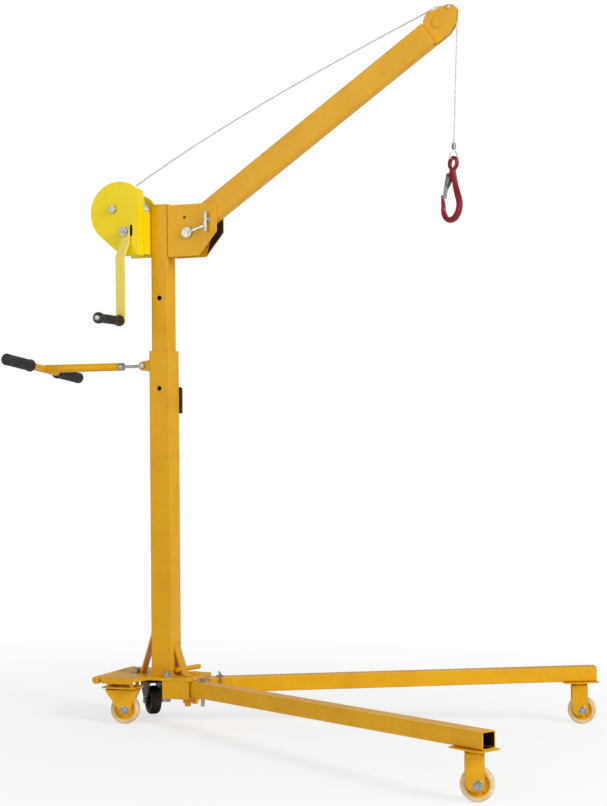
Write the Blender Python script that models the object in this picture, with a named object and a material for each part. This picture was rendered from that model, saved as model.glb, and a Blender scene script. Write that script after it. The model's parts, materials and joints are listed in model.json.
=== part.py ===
"""Portable folding jib crane: a hand winch on a telescopic mast, a folding boom and two folding legs on casters.

The crane is modelled in its own frame, in metres: X forward along the boom, Y to its left, Z up the mast,
with Z zero at the front wheels' contact and the mast's axis at X = Y = 0.
The rear casters are shorter in reach than the front ones, so the whole crane leans back on a level floor.
The empty "crane_frame" carries that lean, and puts the origin at the bottom centre of the crane's box.
"""
import math

import bmesh
import bpy
from mathutils import Matrix, Vector
from mathutils.geometry import interpolate_bezier

# ---- driving dimensions ----
GAP = 0.0003                # between pieces that touch
RUN = 0.0003                # round a pin or shaft in its hole
SLIDE_GAP = 0.0005          # round the inner mast in the outer one

MAST_SIZE = 0.060           # outer mast, square tube
MAST_WALL = 0.0045
MAST_CORNER = 0.005
MAST_HEIGHT = 0.840
INNER_WALL = 0.003
INNER_LENGTH = 0.780
HEAD_HEIGHT = 0.377         # outer mast's top to the inner mast's top
CAP_THICK = 0.004
LOCK_DROP = 0.098           # mast lock hole below the outer mast's top
LOCK_PITCH = 0.235          # between the inner mast's lock holes
LOCK_R = 0.0062

LEG_SIZE = 0.040
LEG_WALL = 0.003
LEG_START = 0.018           # tube's rear end ahead of the leg's pivot
LEG_LENGTH = 1.057
LEG_HALF_ANGLE = math.radians(29.35)
LEG_PIVOT_X = 0.071
LEG_PIVOT_Y = 0.0226
LEG_PIN_REACH = 0.0648      # leg pin ahead of the leg's pivot
LEG_PIN_R = 0.005
STUB_LENGTH = 0.130
BOSS_R = 0.015
PIVOT_R = 0.008

BRACES = ((1, 0.027, 0.080), (-1, 0.039, 0.121))   # side, reach and height of the flat bars at the mast's foot
BRACE_BAND = 0.013          # a brace's band, measured up the mast
BRACE_HALF = 0.016
STOW_BAR = ((0.040, -0.022, 0.0145), (0.064, 0.064, 0.0145))   # round bar that the hook is hung on when folded
STOW_BAR_R = 0.0065

BASE_THICK = 0.008
BASE_FRONT = 0.100
BASE_REAR = 0.140
BASE_STEP = 0.035           # where the base plate widens, behind the mast's axis
BASE_WIDE = 0.110           # half widths
BASE_NARROW = 0.066
FLANGE_DROP = 0.0075
CHANNEL_FLOOR = 0.006
CHANNEL_WEB = 0.0057
CHANNEL_BACK = 0.019
CHANNEL_FRONT = 0.094
BAR_R = 0.010
BAR_HALF = 0.112

WHEEL_R = 0.0375
WHEEL_HALF = 0.014
HUB_HALF = 0.0187
FORK_WALL = 0.0025
FORK_HALF = 0.0205          # half width of a straight fork's side
FORK_SKIRT = 0.043          # half width of a flared fork's top
AXLE_R = 0.005
CASTER_TRAIL = 0.006
PLATE_LONG = 0.095
PLATE_WIDE = 0.066
PLATE_THICK = 0.003
FRONT_CASTER_HEIGHT = 0.1139
REAR_CASTER_HEIGHT = 0.0954
FRONT_CASTER_BACK = 0.043   # swivel axis behind the leg's open end
REAR_CASTER_X = 0.083
REAR_CASTER_Y = 0.085
REAR_STUD = 0.0156
STUD_R = 0.005

BRACKET_WALL = 0.005
BRACKET_LENGTH = 0.1377
BRACKET_HEIGHT = 0.134
BRACKET_CHAMFER_X = 0.050
BRACKET_CHAMFER_Z = 0.061
BOOM_TALL = 0.060
BOOM_WIDE = 0.040
BOOM_WALL = 0.003
BOOM_ANGLE = math.radians(34.33)
BOOM_PIVOT_X = 0.082
BOOM_PIVOT_UP = 0.060       # boom pivot above the bracket's lower edge
BOOM_OFFSET = 0.0128        # boom's centreline above its pivot
BOOM_BACK = 0.021           # boom behind its pivot
BOOM_REACH = 0.796          # boom ahead of its pivot
PULLEY_X = 0.831            # pulley's axle ahead of the boom's pivot, and above it
PULLEY_Z = 0.0212
PULLEY_ROPE_R = 0.038       # rope's centreline on the pulley
PULLEY_RIM_R = 0.040
PULLEY_HALF = 0.0045
TIP_GAP = 0.0005            # between the pulley and each tip plate
TIP_WALL = 0.003

ROPE_R = 0.0015
ROPE_BOW = math.radians(4.5)    # slack rope: how much steeper it leaves the drum than the straight line
ROPE_LEAVES = 40            # degrees above level where the stiff rope lifts off the pulley
DRUM_ROPE_R = 0.050         # rope's centreline where it leaves the drum
FALL_X = 0.047              # rope's fall ahead of the pulley's axle
HOOK_DROP = 0.299           # pulley's axle down to the rope's ferrule
FERRULE_LONG = 0.014
EYE_DROP = 0.0165           # ferrule's lower end down to the hook's eye
HOOK_YAW = math.radians(-37)

CASE_X = -0.0845            # middle of the winch's round case
CASE_DROP = 0.020           # and how far it lies below the inner mast's top
CASE_R = 0.080
WINCH_X = -0.0997           # drum's axis
WINCH_DROP = 0.0115
GEAR_TEETH = 60
PINION_TEETH = 15
CRANK_X = -0.061
CRANK_DROP = 0.072
CRANK_LONG = 0.232
CRANK_ANGLE = math.radians(-0.5)
CRANK_OUT = 0.030           # how far the crank arm is set outwards
CRANK_WIDE = 0.023
CRANK_THICK = 0.008
GRIP_LONG = 0.124

HANDLE_DROP = 0.038         # tow handle's hinge below the outer mast's top
HANDLE_PIVOT_X = 0.055      # behind the mast's axis
HANDLE_REACH = 0.302        # hinge to crossbar
HANDLE_TWIST = math.radians(-5.3)
CROSSBAR_R = 0.010
CROSSBAR_HALF = 0.190
GRIP_R = 0.015
HAND_GRIP = 0.128

# ---- levels that follow ----
LEG_BOTTOM = FRONT_CASTER_HEIGHT + GAP
LEG_TOP = LEG_BOTTOM + LEG_SIZE
BASE_BOTTOM = LEG_TOP + GAP
BASE_TOP = BASE_BOTTOM + BASE_THICK
CHANNEL_TOP = LEG_BOTTOM - GAP
MAST_FOOT = BASE_TOP + GAP
MAST_TOP = MAST_FOOT + MAST_HEIGHT
INNER_SIZE = MAST_SIZE - 2 * MAST_WALL - 2 * SLIDE_GAP
INNER_TOP = MAST_TOP + HEAD_HEIGHT
INNER_HALF = INNER_SIZE / 2
MAST_HALF = MAST_SIZE / 2
BRACKET_BOTTOM = INNER_TOP - BRACKET_HEIGHT
BOOM_PIVOT_Z = BRACKET_BOTTOM + BOOM_PIVOT_UP
BOOM_HALF = BOOM_WIDE / 2
REAR_PLATE_TOP = BASE_BOTTOM - REAR_STUD
REAR_CONTACT = REAR_PLATE_TOP - REAR_CASTER_HEIGHT
LOCK_Z = MAST_TOP - LOCK_DROP
DRUM_Z = INNER_TOP - WINCH_DROP
CRANK_Z = INNER_TOP - CRANK_DROP
GEAR_CENTRES = math.hypot(CRANK_X - WINCH_X, CRANK_Z - DRUM_Z)
GEAR_PITCH_R = GEAR_CENTRES * GEAR_TEETH / (GEAR_TEETH + PINION_TEETH)
PINION_PITCH_R = GEAR_CENTRES - GEAR_PITCH_R
TIP_INNER = PULLEY_HALF + TIP_GAP
HANDLE_Z = MAST_TOP - HANDLE_DROP

ROUND = 12                  # sides of a pin or a hole
WHEEL_SIDES = 24


# ---- building blocks ----
def material(name, colour, roughness, metallic):
    mat = bpy.data.materials.new(name)
    mat.use_nodes = True
    shader = mat.node_tree.nodes["Principled BSDF"]
    shader.inputs["Base Color"].default_value = (*colour, 1.0)
    shader.inputs["Roughness"].default_value = roughness
    shader.inputs["Metallic"].default_value = metallic
    return mat


def empty(name, parent, location, rotation=(0, 0, 0)):
    obj = bpy.data.objects.new(name, None)
    obj.empty_display_size = 0.03
    obj.parent = parent
    obj.location = location
    obj.rotation_euler = rotation
    bpy.context.collection.objects.link(obj)
    return obj


def piece(name, bm, mat, parent, origin=(0, 0, 0)):
    """An object from a mesh drawn in its parent's frame, with its own origin moved to `origin`."""
    bmesh.ops.translate(bm, verts=bm.verts, vec=-Vector(origin))
    bmesh.ops.recalc_face_normals(bm, faces=bm.faces)
    mesh = bpy.data.meshes.new(name)
    bm.to_mesh(mesh)
    bm.free()
    mesh.materials.append(mat)
    mesh.shade_smooth()
    mesh.set_sharp_from_angle(angle=math.radians(35))
    obj = bpy.data.objects.new(name, mesh)
    obj.parent = parent
    obj.location = origin
    bpy.context.collection.objects.link(obj)
    return obj


def combine(obj, bm, operation):
    """Joins, cuts or trims an object with a mesh drawn in the frame that the object was drawn in."""
    tool = piece(f"{obj.name}_{operation.lower()}_{len(obj.modifiers)}", bm, obj.data.materials[0],
                 obj.parent, obj.location)
    tool.hide_render = True
    tool.display_type = "WIRE"
    mod = obj.modifiers.new(operation.title(), "BOOLEAN")
    mod.operation = operation
    mod.object = tool
    return obj


def join(obj, bm):
    return combine(obj, bm, "UNION")


def cut(obj, bm):
    return combine(obj, bm, "DIFFERENCE")


def trim(obj, bm):
    return combine(obj, bm, "INTERSECT")


AXES = {
    "X": Matrix(((0, 0, 1), (1, 0, 0), (0, 1, 0))),   # outline (Y, Z), pushed along X
    "Y": Matrix(((1, 0, 0), (0, 0, 1), (0, 1, 0))),   # outline (X, Z), pushed along Y
    "Z": Matrix(((1, 0, 0), (0, 1, 0), (0, 0, 1))),   # outline (X, Y), pushed along Z
}


def prism(outline, axis, start, end):
    """A closed outline of points, pushed along an axis from start to end."""
    bm = bmesh.new()
    turn = AXES[axis]
    low = [bm.verts.new(turn @ Vector((u, v, start))) for u, v in outline]
    high = [bm.verts.new(turn @ Vector((u, v, end))) for u, v in outline]
    bm.faces.new(low)
    bm.faces.new(reversed(high))
    for i in range(len(low)):
        j = (i + 1) % len(low)
        bm.faces.new((low[i], high[i], high[j], low[j]))
    return bm


def box(x, y, z):
    return prism(((x[0], y[0]), (x[1], y[0]), (x[1], y[1]), (x[0], y[1])), "Z", z[0], z[1])


def arc(centre, radius, start, end, steps):
    """Points from one angle to another, in degrees, both ends included."""
    angles = [math.radians(start + (end - start) * i / steps) for i in range(steps + 1)]
    return [(centre[0] + radius * math.cos(a), centre[1] + radius * math.sin(a)) for a in angles]


def circle(centre, radius, sides=ROUND):
    return arc(centre, radius, 0, 360, sides)[:-1]


def rod(axis, centre, radius, start, end, sides=ROUND):
    return prism(circle(centre, radius, sides), axis, start, end)


def hexagon(axis, centre, across, start, end):
    return prism(circle(centre, across / math.sqrt(3), 6), axis, start, end)


def rounded(outline, radius, steps=2):
    """The outline with each corner rounded; `radius` is one number or one for each corner."""
    radii = radius if isinstance(radius, (list, tuple)) else [radius] * len(outline)
    points = []
    for i, corner in enumerate(outline):
        here = Vector(corner)
        back = (Vector(outline[i - 1]) - here).normalized()
        ahead = (Vector(outline[(i + 1) % len(outline)]) - here).normalized()
        half = math.acos(max(-1, min(1, back.dot(ahead)))) / 2
        if radii[i] == 0:
            points.append(tuple(here))
            continue
        reach = radii[i] / math.tan(half)
        middle = here + (back + ahead).normalized() * radii[i] / math.sin(half)
        first = here + back * reach - middle
        last = here + ahead * reach - middle
        turn = first.angle_signed(last)
        for k in range(steps + 1):
            points.append(tuple(middle + Matrix.Rotation(-turn * k / steps, 2) @ first))
    return points


def rectangle(wide, tall, centre=(0, 0)):
    w, t = wide / 2, tall / 2
    return [(centre[0] - w, centre[1] - t), (centre[0] + w, centre[1] - t),
            (centre[0] + w, centre[1] + t), (centre[0] - w, centre[1] + t)]


def box_tube(axis, wide, tall, wall, corner, start, end, centre=(0, 0)):
    """A rectangular tube, open at both ends."""
    outer = rounded(rectangle(wide, tall, centre), corner)
    inner = rounded(rectangle(wide - 2 * wall, tall - 2 * wall, centre), max(corner - wall, 0.001))
    bm = bmesh.new()
    turn = AXES[axis]
    rings = [[bm.verts.new(turn @ Vector((u, v, w))) for u, v in points]
             for points, w in ((outer, start), (outer, end), (inner, end), (inner, start))]
    for k in range(4):
        one, two = rings[k], rings[(k + 1) % 4]
        for i in range(len(one)):
            j = (i + 1) % len(one)
            bm.faces.new((one[i], one[j], two[j], two[i]))
    return bm


def turned(profile, axis, centre, sides=ROUND):
    """A solid of revolution; the profile's points are (radius, place along the axis), in order."""
    bm = bmesh.new()
    turn = AXES[axis]
    rings = []
    for r, w in profile:
        if r == 0:
            rings.append([bm.verts.new(turn @ Vector((centre[0], centre[1], w)))])
            continue
        rings.append([bm.verts.new(turn @ Vector((u, v, w))) for u, v in circle(centre, r, sides)])
    for k, one in enumerate(rings):
        two = rings[(k + 1) % len(rings)]
        for i in range(sides):
            corners = [one[i % len(one)], one[(i + 1) % len(one)], two[(i + 1) % len(two)], two[i % len(two)]]
            corners = list(dict.fromkeys(corners))
            if len(corners) > 2:
                bm.faces.new(corners)
    return bm


def moved(bm, matrix):
    bmesh.ops.transform(bm, matrix=matrix, verts=bm.verts)
    return bm


def cord(name, points, radius, mat, parent, closed=False):
    """A rope through points in its parent's frame, as a filled poly curve."""
    curve = bpy.data.curves.new(name, "CURVE")
    curve.dimensions = "3D"
    curve.bevel_depth = radius
    curve.bevel_resolution = 2
    curve.render_resolution_u = 0
    curve.use_fill_caps = True
    spline = curve.splines.new("POLY")
    spline.points.add(len(points) - 1)
    for slot, point in zip(spline.points, points):
        slot.co = (*point, 1)
    spline.use_cyclic_u = closed
    spline.use_smooth = True
    curve.materials.append(mat)
    obj = bpy.data.objects.new(name, curve)
    obj.parent = parent
    bpy.context.collection.objects.link(obj)
    return obj


def sweep(path, sides=10):
    """A solid round a path in the XZ plane; each path entry is (x, z, half width in plane, half thickness)."""
    bm = bmesh.new()
    rings = []
    for i, (x, z, wide, thick) in enumerate(path):
        before, after = path[max(i - 1, 0)], path[min(i + 1, len(path) - 1)]
        along = Vector((after[0] - before[0], 0, after[1] - before[1])).normalized()
        across = Vector((along.z, 0, -along.x))
        ring = []
        for k in range(sides):
            a = 2 * math.pi * k / sides
            ring.append(bm.verts.new(Vector((x, 0, z)) + across * wide * math.cos(a)
                                     + Vector((0, thick * math.sin(a), 0))))
        rings.append(ring)
    for one, two in zip(rings, rings[1:]):
        for k in range(sides):
            j = (k + 1) % sides
            bm.faces.new((one[k], one[j], two[j], two[k]))
    bm.faces.new(rings[0])
    bm.faces.new(reversed(rings[-1]))
    return bm


# ---- the base and the outer mast ----
def build_base(root, mats):
    yellow, zinc = mats["yellow"], mats["zinc"]
    outline = rounded([(BASE_FRONT, -BASE_NARROW), (BASE_FRONT, BASE_NARROW), (-BASE_STEP + 0.015, BASE_NARROW),
                       (-BASE_STEP, BASE_WIDE), (-BASE_REAR + GAP, BASE_WIDE), (-BASE_REAR + GAP, -BASE_WIDE),
                       (-BASE_STEP, -BASE_WIDE), (-BASE_STEP + 0.015, -BASE_NARROW)], 0.006)
    plate = piece("base_top_plate", prism(outline, "Z", BASE_BOTTOM, BASE_TOP), yellow, root)
    flange_end = -BASE_STEP - 0.008
    for side in (-1, 1):
        edge = sorted((side * BASE_WIDE, side * (BASE_WIDE - 0.003)))
        join(plate, box((-BASE_REAR + 0.008, flange_end), edge, (BASE_BOTTOM - FLANGE_DROP, BASE_TOP - 0.001)))

    web = CHANNEL_TOP - CHANNEL_FLOOR
    half = BASE_NARROW
    profile = [(-half, BASE_BOTTOM - GAP), (-half, web), (half, web), (half, BASE_BOTTOM - GAP),
               (half - CHANNEL_WEB, BASE_BOTTOM - GAP), (half - CHANNEL_WEB, CHANNEL_TOP),
               (-half + CHANNEL_WEB, CHANNEL_TOP), (-half + CHANNEL_WEB, BASE_BOTTOM - GAP)]
    channel = piece("base_channel", prism(rounded(profile, [0, 0.004, 0.004, 0, 0, 0, 0, 0]), "X",
                                          CHANNEL_BACK, CHANNEL_FRONT), yellow, root)

    bolt_r = 0.005
    for side, label in ((-1, "near"), (1, "far")):
        spot = (CHANNEL_BACK + 0.007, side * (BASE_NARROW - 0.015))
        for obj in (plate, channel):
            cut(obj, rod("Z", spot, bolt_r + RUN, web - 0.01, BASE_TOP + 0.01))
        bolt = piece(f"base_bolt_{label}", rod("Z", spot, bolt_r, web - 0.009, BASE_TOP + 0.016), zinc, root)
        join(bolt, rod("Z", spot, 0.0115, BASE_TOP + GAP, BASE_TOP + 0.002))
        join(bolt, hexagon("Z", spot, 0.019, BASE_TOP + 0.0018, BASE_TOP + 0.012))
        join(bolt, hexagon("Z", spot, 0.017, web - 0.0083, web - GAP))

        pivot = (LEG_PIVOT_X, side * LEG_PIVOT_Y)
        for obj in (plate, channel):
            cut(obj, rod("Z", pivot, PIVOT_R + RUN, web - 0.01, BASE_TOP + 0.01))
        bolt = piece(f"leg_pivot_bolt_{label}", rod("Z", pivot, PIVOT_R, web - 0.022, BASE_TOP + 0.003),
                     yellow, root)
        join(bolt, rod("Z", pivot, 0.013, BASE_TOP + GAP, BASE_TOP + 0.0055))
        join(bolt, hexagon("Z", pivot, 0.024, web - 0.0135, web - GAP))

    tail = (-0.086, 0)
    cut(plate, rod("Z", tail, bolt_r + RUN, BASE_BOTTOM - 0.01, BASE_TOP + 0.01))
    bolt = piece("base_bolt_rear", rod("Z", tail, bolt_r, BASE_BOTTOM - 0.020, BASE_TOP + 0.014), zinc, root)
    join(bolt, rod("Z", tail, 0.0115, BASE_TOP + GAP, BASE_TOP + 0.002))
    join(bolt, hexagon("Z", tail, 0.019, BASE_TOP + 0.0018, BASE_TOP + 0.011))
    join(bolt, hexagon("Z", tail, 0.017, BASE_BOTTOM - 0.0085, BASE_BOTTOM - GAP))

    end = 0.004
    profile = [(0, -BAR_HALF), (BAR_R - end, -BAR_HALF)]
    profile += [(r, w) for w, r in arc((-BAR_HALF + end, BAR_R - end), end, 180, 90, 3)]
    profile += [(r, -w) for r, w in reversed(profile)]
    piece("rear_bar", turned(profile, "Y", (-BASE_REAR - BAR_R, BASE_BOTTOM)), yellow, root)


def build_outer_mast(root, mats):
    mast = piece("mast_outer_tube", box_tube("Z", MAST_SIZE, MAST_SIZE, MAST_WALL, MAST_CORNER,
                                             MAST_FOOT, MAST_TOP), mats["yellow"], root)
    cut(mast, rod("Y", (0, LOCK_Z), LOCK_R + RUN, -MAST_SIZE, MAST_SIZE))
    weld = MAST_WALL / 2
    foot = MAST_FOOT
    for sign, reach, tall in BRACES:
        inside, edge = sign * (MAST_HALF - weld), sign * MAST_HALF
        share = BRACE_BAND * reach / tall
        points = [(inside, foot + tall - BRACE_BAND), (inside, foot + tall), (edge, foot + tall),
                  (edge + sign * reach, foot), (edge + sign * (reach - share), foot),
                  (edge, foot + tall - BRACE_BAND)]
        join(mast, prism(points, "Y", -BRACE_HALF, BRACE_HALF))
    start, stop = Vector(STOW_BAR[0]), Vector(STOW_BAR[1])
    along = (stop - start).to_track_quat("Z", "Y").to_matrix().to_4x4()
    bar = rod("Z", (0, 0), STOW_BAR_R, 0, (stop - start).length)
    join(mast, moved(bar, Matrix.Translation(start + Vector((0, 0, BASE_TOP))) @ along))

    face = MAST_HALF + GAP
    tip = INNER_HALF + GAP
    pin = piece("mast_lock_pin", rod("Y", (0, LOCK_Z), LOCK_R, tip, face + 0.002), mats["zinc"], root,
                (0, tip, LOCK_Z))
    tab = rounded([(-0.011, LOCK_Z + 0.011), (-0.011, LOCK_Z - 0.052), (0.036, LOCK_Z - 0.067),
                   (0.036, LOCK_Z + 0.003)], 0.004)
    join(pin, prism(tab, "Y", face, face + 0.005))

    pin_z = HANDLE_Z
    ear_in, ear_out = 0.012, 0.016
    back = -MAST_HALF
    join(mast, box((back - 0.004, back + weld), (-0.021, 0.021), (pin_z - 0.017, pin_z + 0.017)))
    for side in (-1, 1):
        ear = [(back - 0.001, pin_z - 0.015)]
        ear += arc((-HANDLE_PIVOT_X, pin_z), 0.012, 270, 90, 8)
        ear += [(back - 0.001, pin_z + 0.015)]
        join(mast, prism(ear, "Y", *sorted((side * ear_in, side * ear_out))))
    pin_r = 0.004
    cut(mast, rod("Y", (-HANDLE_PIVOT_X, pin_z), pin_r + RUN, -0.03, 0.03))
    bolt = piece("clevis_pin", rod("Y", (-HANDLE_PIVOT_X, pin_z), pin_r, -0.017, 0.022), mats["zinc"], root)
    for start, stop in ((-0.0215, -ear_out - GAP), (ear_out + GAP, 0.0215)):
        join(bolt, hexagon("Y", (-HANDLE_PIVOT_X, pin_z), 0.013, start, stop))


# ---- the casters ----
def build_caster(name, root, location, yaw, height, studs, mats, fork_mat, wheel_mat, plate_yaw=0):
    """A swivel caster hung under `location`, the centre of its plate's top face."""
    race = 0.003 if studs else 0.005
    crown = 0.003
    head = 0.004
    top = -PLATE_THICK
    seat = empty(f"{name}_seat", root, location, (0, 0, plate_yaw))
    outline = rounded(rectangle(PLATE_LONG, PLATE_WIDE), 0.006)
    plate = piece(f"{name}_plate", prism(outline, "Z", top, 0), mats["yellow"], seat)
    low = top - race
    pin_r = 0.006
    profile = [(0, top + 0.001), (0.024, top + 0.001), (0.024, top - 0.002), (0.021, low), (pin_r, low),
               (pin_r, low - crown - 2 * GAP), (0.011, low - crown - 2 * GAP),
               (0.009, low - crown - 2 * GAP - head), (0, low - crown - 2 * GAP - head)]
    join(plate, turned(profile, "Z", (0, 0)))
    if studs:
        for x in (-0.0325, 0.0325):
            for y in (-0.017, 0.017):
                join(plate, rod("Z", (x, y), STUD_R, -0.001, REAR_STUD - GAP, 8))
    else:
        for x in (-0.038, 0.038):
            for y in (-0.0255, 0.0255):
                cut(plate, rod("Z", (x, y), 0.0042, top - 0.01, 0.01, 8))

    swivel = empty(f"{name}_swivel", seat, (0, 0, 0), (0, 0, yaw - plate_yaw))
    axle = -(height - WHEEL_R)
    outer = HUB_HALF + GAP + FORK_WALL
    crown_top = low - GAP
    crown_low = crown_top - crown
    bottom = axle - 0.013
    profile = [(-outer, bottom), (outer, bottom), (outer, crown_top), (-outer, crown_top)]
    reach = FORK_SKIRT + 0.002
    fork = piece(f"{name}_fork", prism(rounded(profile, [0, 0, 0.004, 0.004]), "X", -reach, reach), fork_mat,
                 swivel, (0, 0, crown_top))
    inner = outer - FORK_WALL
    profile = [(-inner, bottom - 0.01), (inner, bottom - 0.01), (inner, crown_low), (-inner, crown_low)]
    cut(fork, prism(rounded(profile, [0, 0, 0.002, 0.002]), "X", -2 * reach, 2 * reach))
    if studs:
        side = [(FORK_SKIRT, crown_top + 0.001), (-FORK_SKIRT, crown_top + 0.001), (-FORK_SKIRT, crown_low)]
        side += arc((CASTER_TRAIL, axle), 0.0125, 200, 340, 8) + [(FORK_SKIRT, crown_low)]
    else:
        side = [(FORK_HALF, crown_top + 0.001), (-FORK_HALF, crown_top + 0.001)]
        side += arc((0, axle + 0.006), FORK_HALF, 180, 360, 10)
    trim(fork, prism(side, "Y", -outer - 0.01, outer + 0.01))
    cut(fork, rod("Z", (0, 0), pin_r + RUN, crown_low - 0.01, crown_top + 0.01))
    centre = (CASTER_TRAIL, axle)
    join(fork, rod("Y", centre, AXLE_R, -outer - 0.003, outer + 0.003, ROUND))
    join(fork, rod("Y", centre, 0.0082, -outer - 0.0045, -outer + 0.001, ROUND))
    join(fork, hexagon("Y", centre, 0.015, outer - 0.001, outer + 0.0063))

    half, edge = WHEEL_HALF, 0.004
    profile = [(AXLE_R + RUN, -HUB_HALF), (0.011, -HUB_HALF), (0.013, -half)]
    profile += [(r, w) for w, r in arc((-half + edge, WHEEL_R - edge), edge, 180, 90, 2)]
    profile += [(r, -w) for r, w in reversed(profile)]
    piece(f"{name}_wheel", turned(profile, "Y", centre, WHEEL_SIDES), wheel_mat, swivel,
          (CASTER_TRAIL, 0, axle))


# ---- the folding legs ----
def build_leg(label, side, root, mats):
    yellow, zinc = mats["yellow"], mats["zinc"]
    pivot = empty(f"leg_{label}_pivot", root, (LEG_PIVOT_X, side * LEG_PIVOT_Y, LEG_BOTTOM),
                  (0, 0, side * LEG_HALF_ANGLE))
    middle = LEG_SIZE / 2
    end = LEG_START + LEG_LENGTH
    tube = piece(f"leg_{label}", box_tube("X", LEG_SIZE, LEG_SIZE, LEG_WALL, 0.005, LEG_START, end, (0, middle)),
                 yellow, pivot)
    stub_half = middle - LEG_WALL - GAP
    stub = piece(f"leg_stub_{label}", rod("Z", (0, 0), BOSS_R, 0, LEG_SIZE), yellow, pivot)
    join(stub, prism(rounded(rectangle(2 * stub_half, 2 * stub_half, (0, middle)), 0.002), "X", 0.002,
                     STUB_LENGTH))
    cut(stub, rod("Z", (0, 0), PIVOT_R + RUN, -0.01, LEG_SIZE + 0.01))

    spot = (LEG_PIN_REACH, 0)
    for obj in (tube, stub):
        cut(obj, rod("Z", spot, LEG_PIN_R + RUN, -0.01, LEG_SIZE + 0.01, 16))
    lift = LEG_SIZE + GAP
    pin = piece(f"leg_pin_{label}", rod("Z", spot, LEG_PIN_R, -0.022, lift + 0.004, 16), zinc, pivot,
                (*spot, lift))
    join(pin, rod("Z", spot, 0.009, lift, lift + 0.003))
    wire = 0.0025
    high = lift + 0.0075
    join(pin, rod("Z", spot, wire, lift + 0.002, high + wire, 12))
    drop_y = -side * (middle + wire + 2 * GAP)
    length = 0.050
    foot_y = side * (length - abs(drop_y))
    join(pin, moved(rod("Y", (0, high), wire, *sorted((drop_y - side * wire, foot_y)), 12),
                    Matrix.Translation((spot[0], 0, 0))))
    join(pin, rod("Z", (spot[0], drop_y), wire, high - 0.025, high + 0.0005, 12))

    build_caster(f"front_caster_{label}", pivot, (end - FRONT_CASTER_BACK, 0, -GAP),
                 math.radians(18) - side * LEG_HALF_ANGLE, FRONT_CASTER_HEIGHT, False, mats, yellow,
                 mats["urethane"])


# ---- the inner mast and its head ----
def build_head(root, mats):
    yellow, zinc = mats["yellow"], mats["zinc"]
    low = INNER_TOP - INNER_LENGTH
    tube = piece("mast_inner_tube", box_tube("Z", INNER_SIZE, INNER_SIZE, INNER_WALL, 0.006, low, INNER_TOP),
                 yellow, root, (0, 0, low))
    for place in (LOCK_Z - LOCK_PITCH, LOCK_Z, LOCK_Z + LOCK_PITCH):
        cut(tube, rod("Y", (0, place), LOCK_R + RUN, -MAST_SIZE, MAST_SIZE))
    piece("mast_cap", prism(rounded(rectangle(INNER_SIZE, INNER_SIZE), 0.006), "Z", INNER_TOP + GAP,
                            INNER_TOP + GAP + CAP_THICK), yellow, root)

    face = INNER_HALF + GAP
    outer = BOOM_HALF + GAP + BRACKET_WALL
    far = face + BRACKET_LENGTH
    top = INNER_TOP
    bracket = piece("head_bracket", box((face, far), (-outer, outer), (BRACKET_BOTTOM, top)), yellow, root)
    cut(bracket, box((face + BRACKET_WALL, far + 0.01), (-outer + BRACKET_WALL, outer - BRACKET_WALL),
                     (BRACKET_BOTTOM - 0.01, top + 0.01)))
    shape = rounded([(face, BRACKET_BOTTOM), (far - BRACKET_CHAMFER_X, BRACKET_BOTTOM),
                     (far, BRACKET_BOTTOM + BRACKET_CHAMFER_Z), (far, top), (face, top)],
                    [0, 0.008, 0.008, 0.006, 0])
    trim(bracket, prism(shape, "Y", -outer - 0.01, outer + 0.01))
    pivot = (BOOM_PIVOT_X, BOOM_PIVOT_Z)
    lock = (BOOM_PIVOT_X + 0.056, BOOM_PIVOT_Z + 0.031)
    lock_r = 0.006
    cut(bracket, rod("Y", pivot, PIVOT_R + RUN, -0.05, 0.05))
    cut(bracket, rod("Y", lock, lock_r + RUN, -0.05, 0.05))
    cut(bracket, rod("Y", (BOOM_PIVOT_X - 0.008, top - 0.034), 0.004, -0.05, 0.05, 12))

    pin = piece("boom_pivot_pin", rod("Y", pivot, PIVOT_R, -outer - 0.006, outer + 0.004), zinc, root)
    join(pin, rod("Y", pivot, 0.014, -outer - 0.007, -outer - GAP))
    join(pin, rod("Y", pivot, 0.013, outer + GAP, outer + 0.0055))
    link = prism(rounded(rectangle(0.060, 0.006, (0.029, 0)), 0.002), "Y", -outer - 0.0055, -outer - 0.0025)
    turn = (Matrix.Translation((pivot[0], 0, pivot[1])) @ Matrix.Rotation(-math.radians(17), 4, "Y"))
    join(pin, moved(link, turn))

    tip = -BOOM_HALF - GAP
    pin = piece("boom_lock_pin", rod("Y", lock, lock_r, -outer - 0.009, tip), zinc, root, (lock[0], tip, lock[1]))
    join(pin, rod("Y", lock, 0.009, -outer - 0.0035, -outer - GAP))
    join(pin, prism(rounded(rectangle(0.008, 0.052, (lock[0], lock[1] - 0.005)), 0.002), "Y", -outer - 0.012,
                    -outer - 0.0075))
    return pivot


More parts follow.
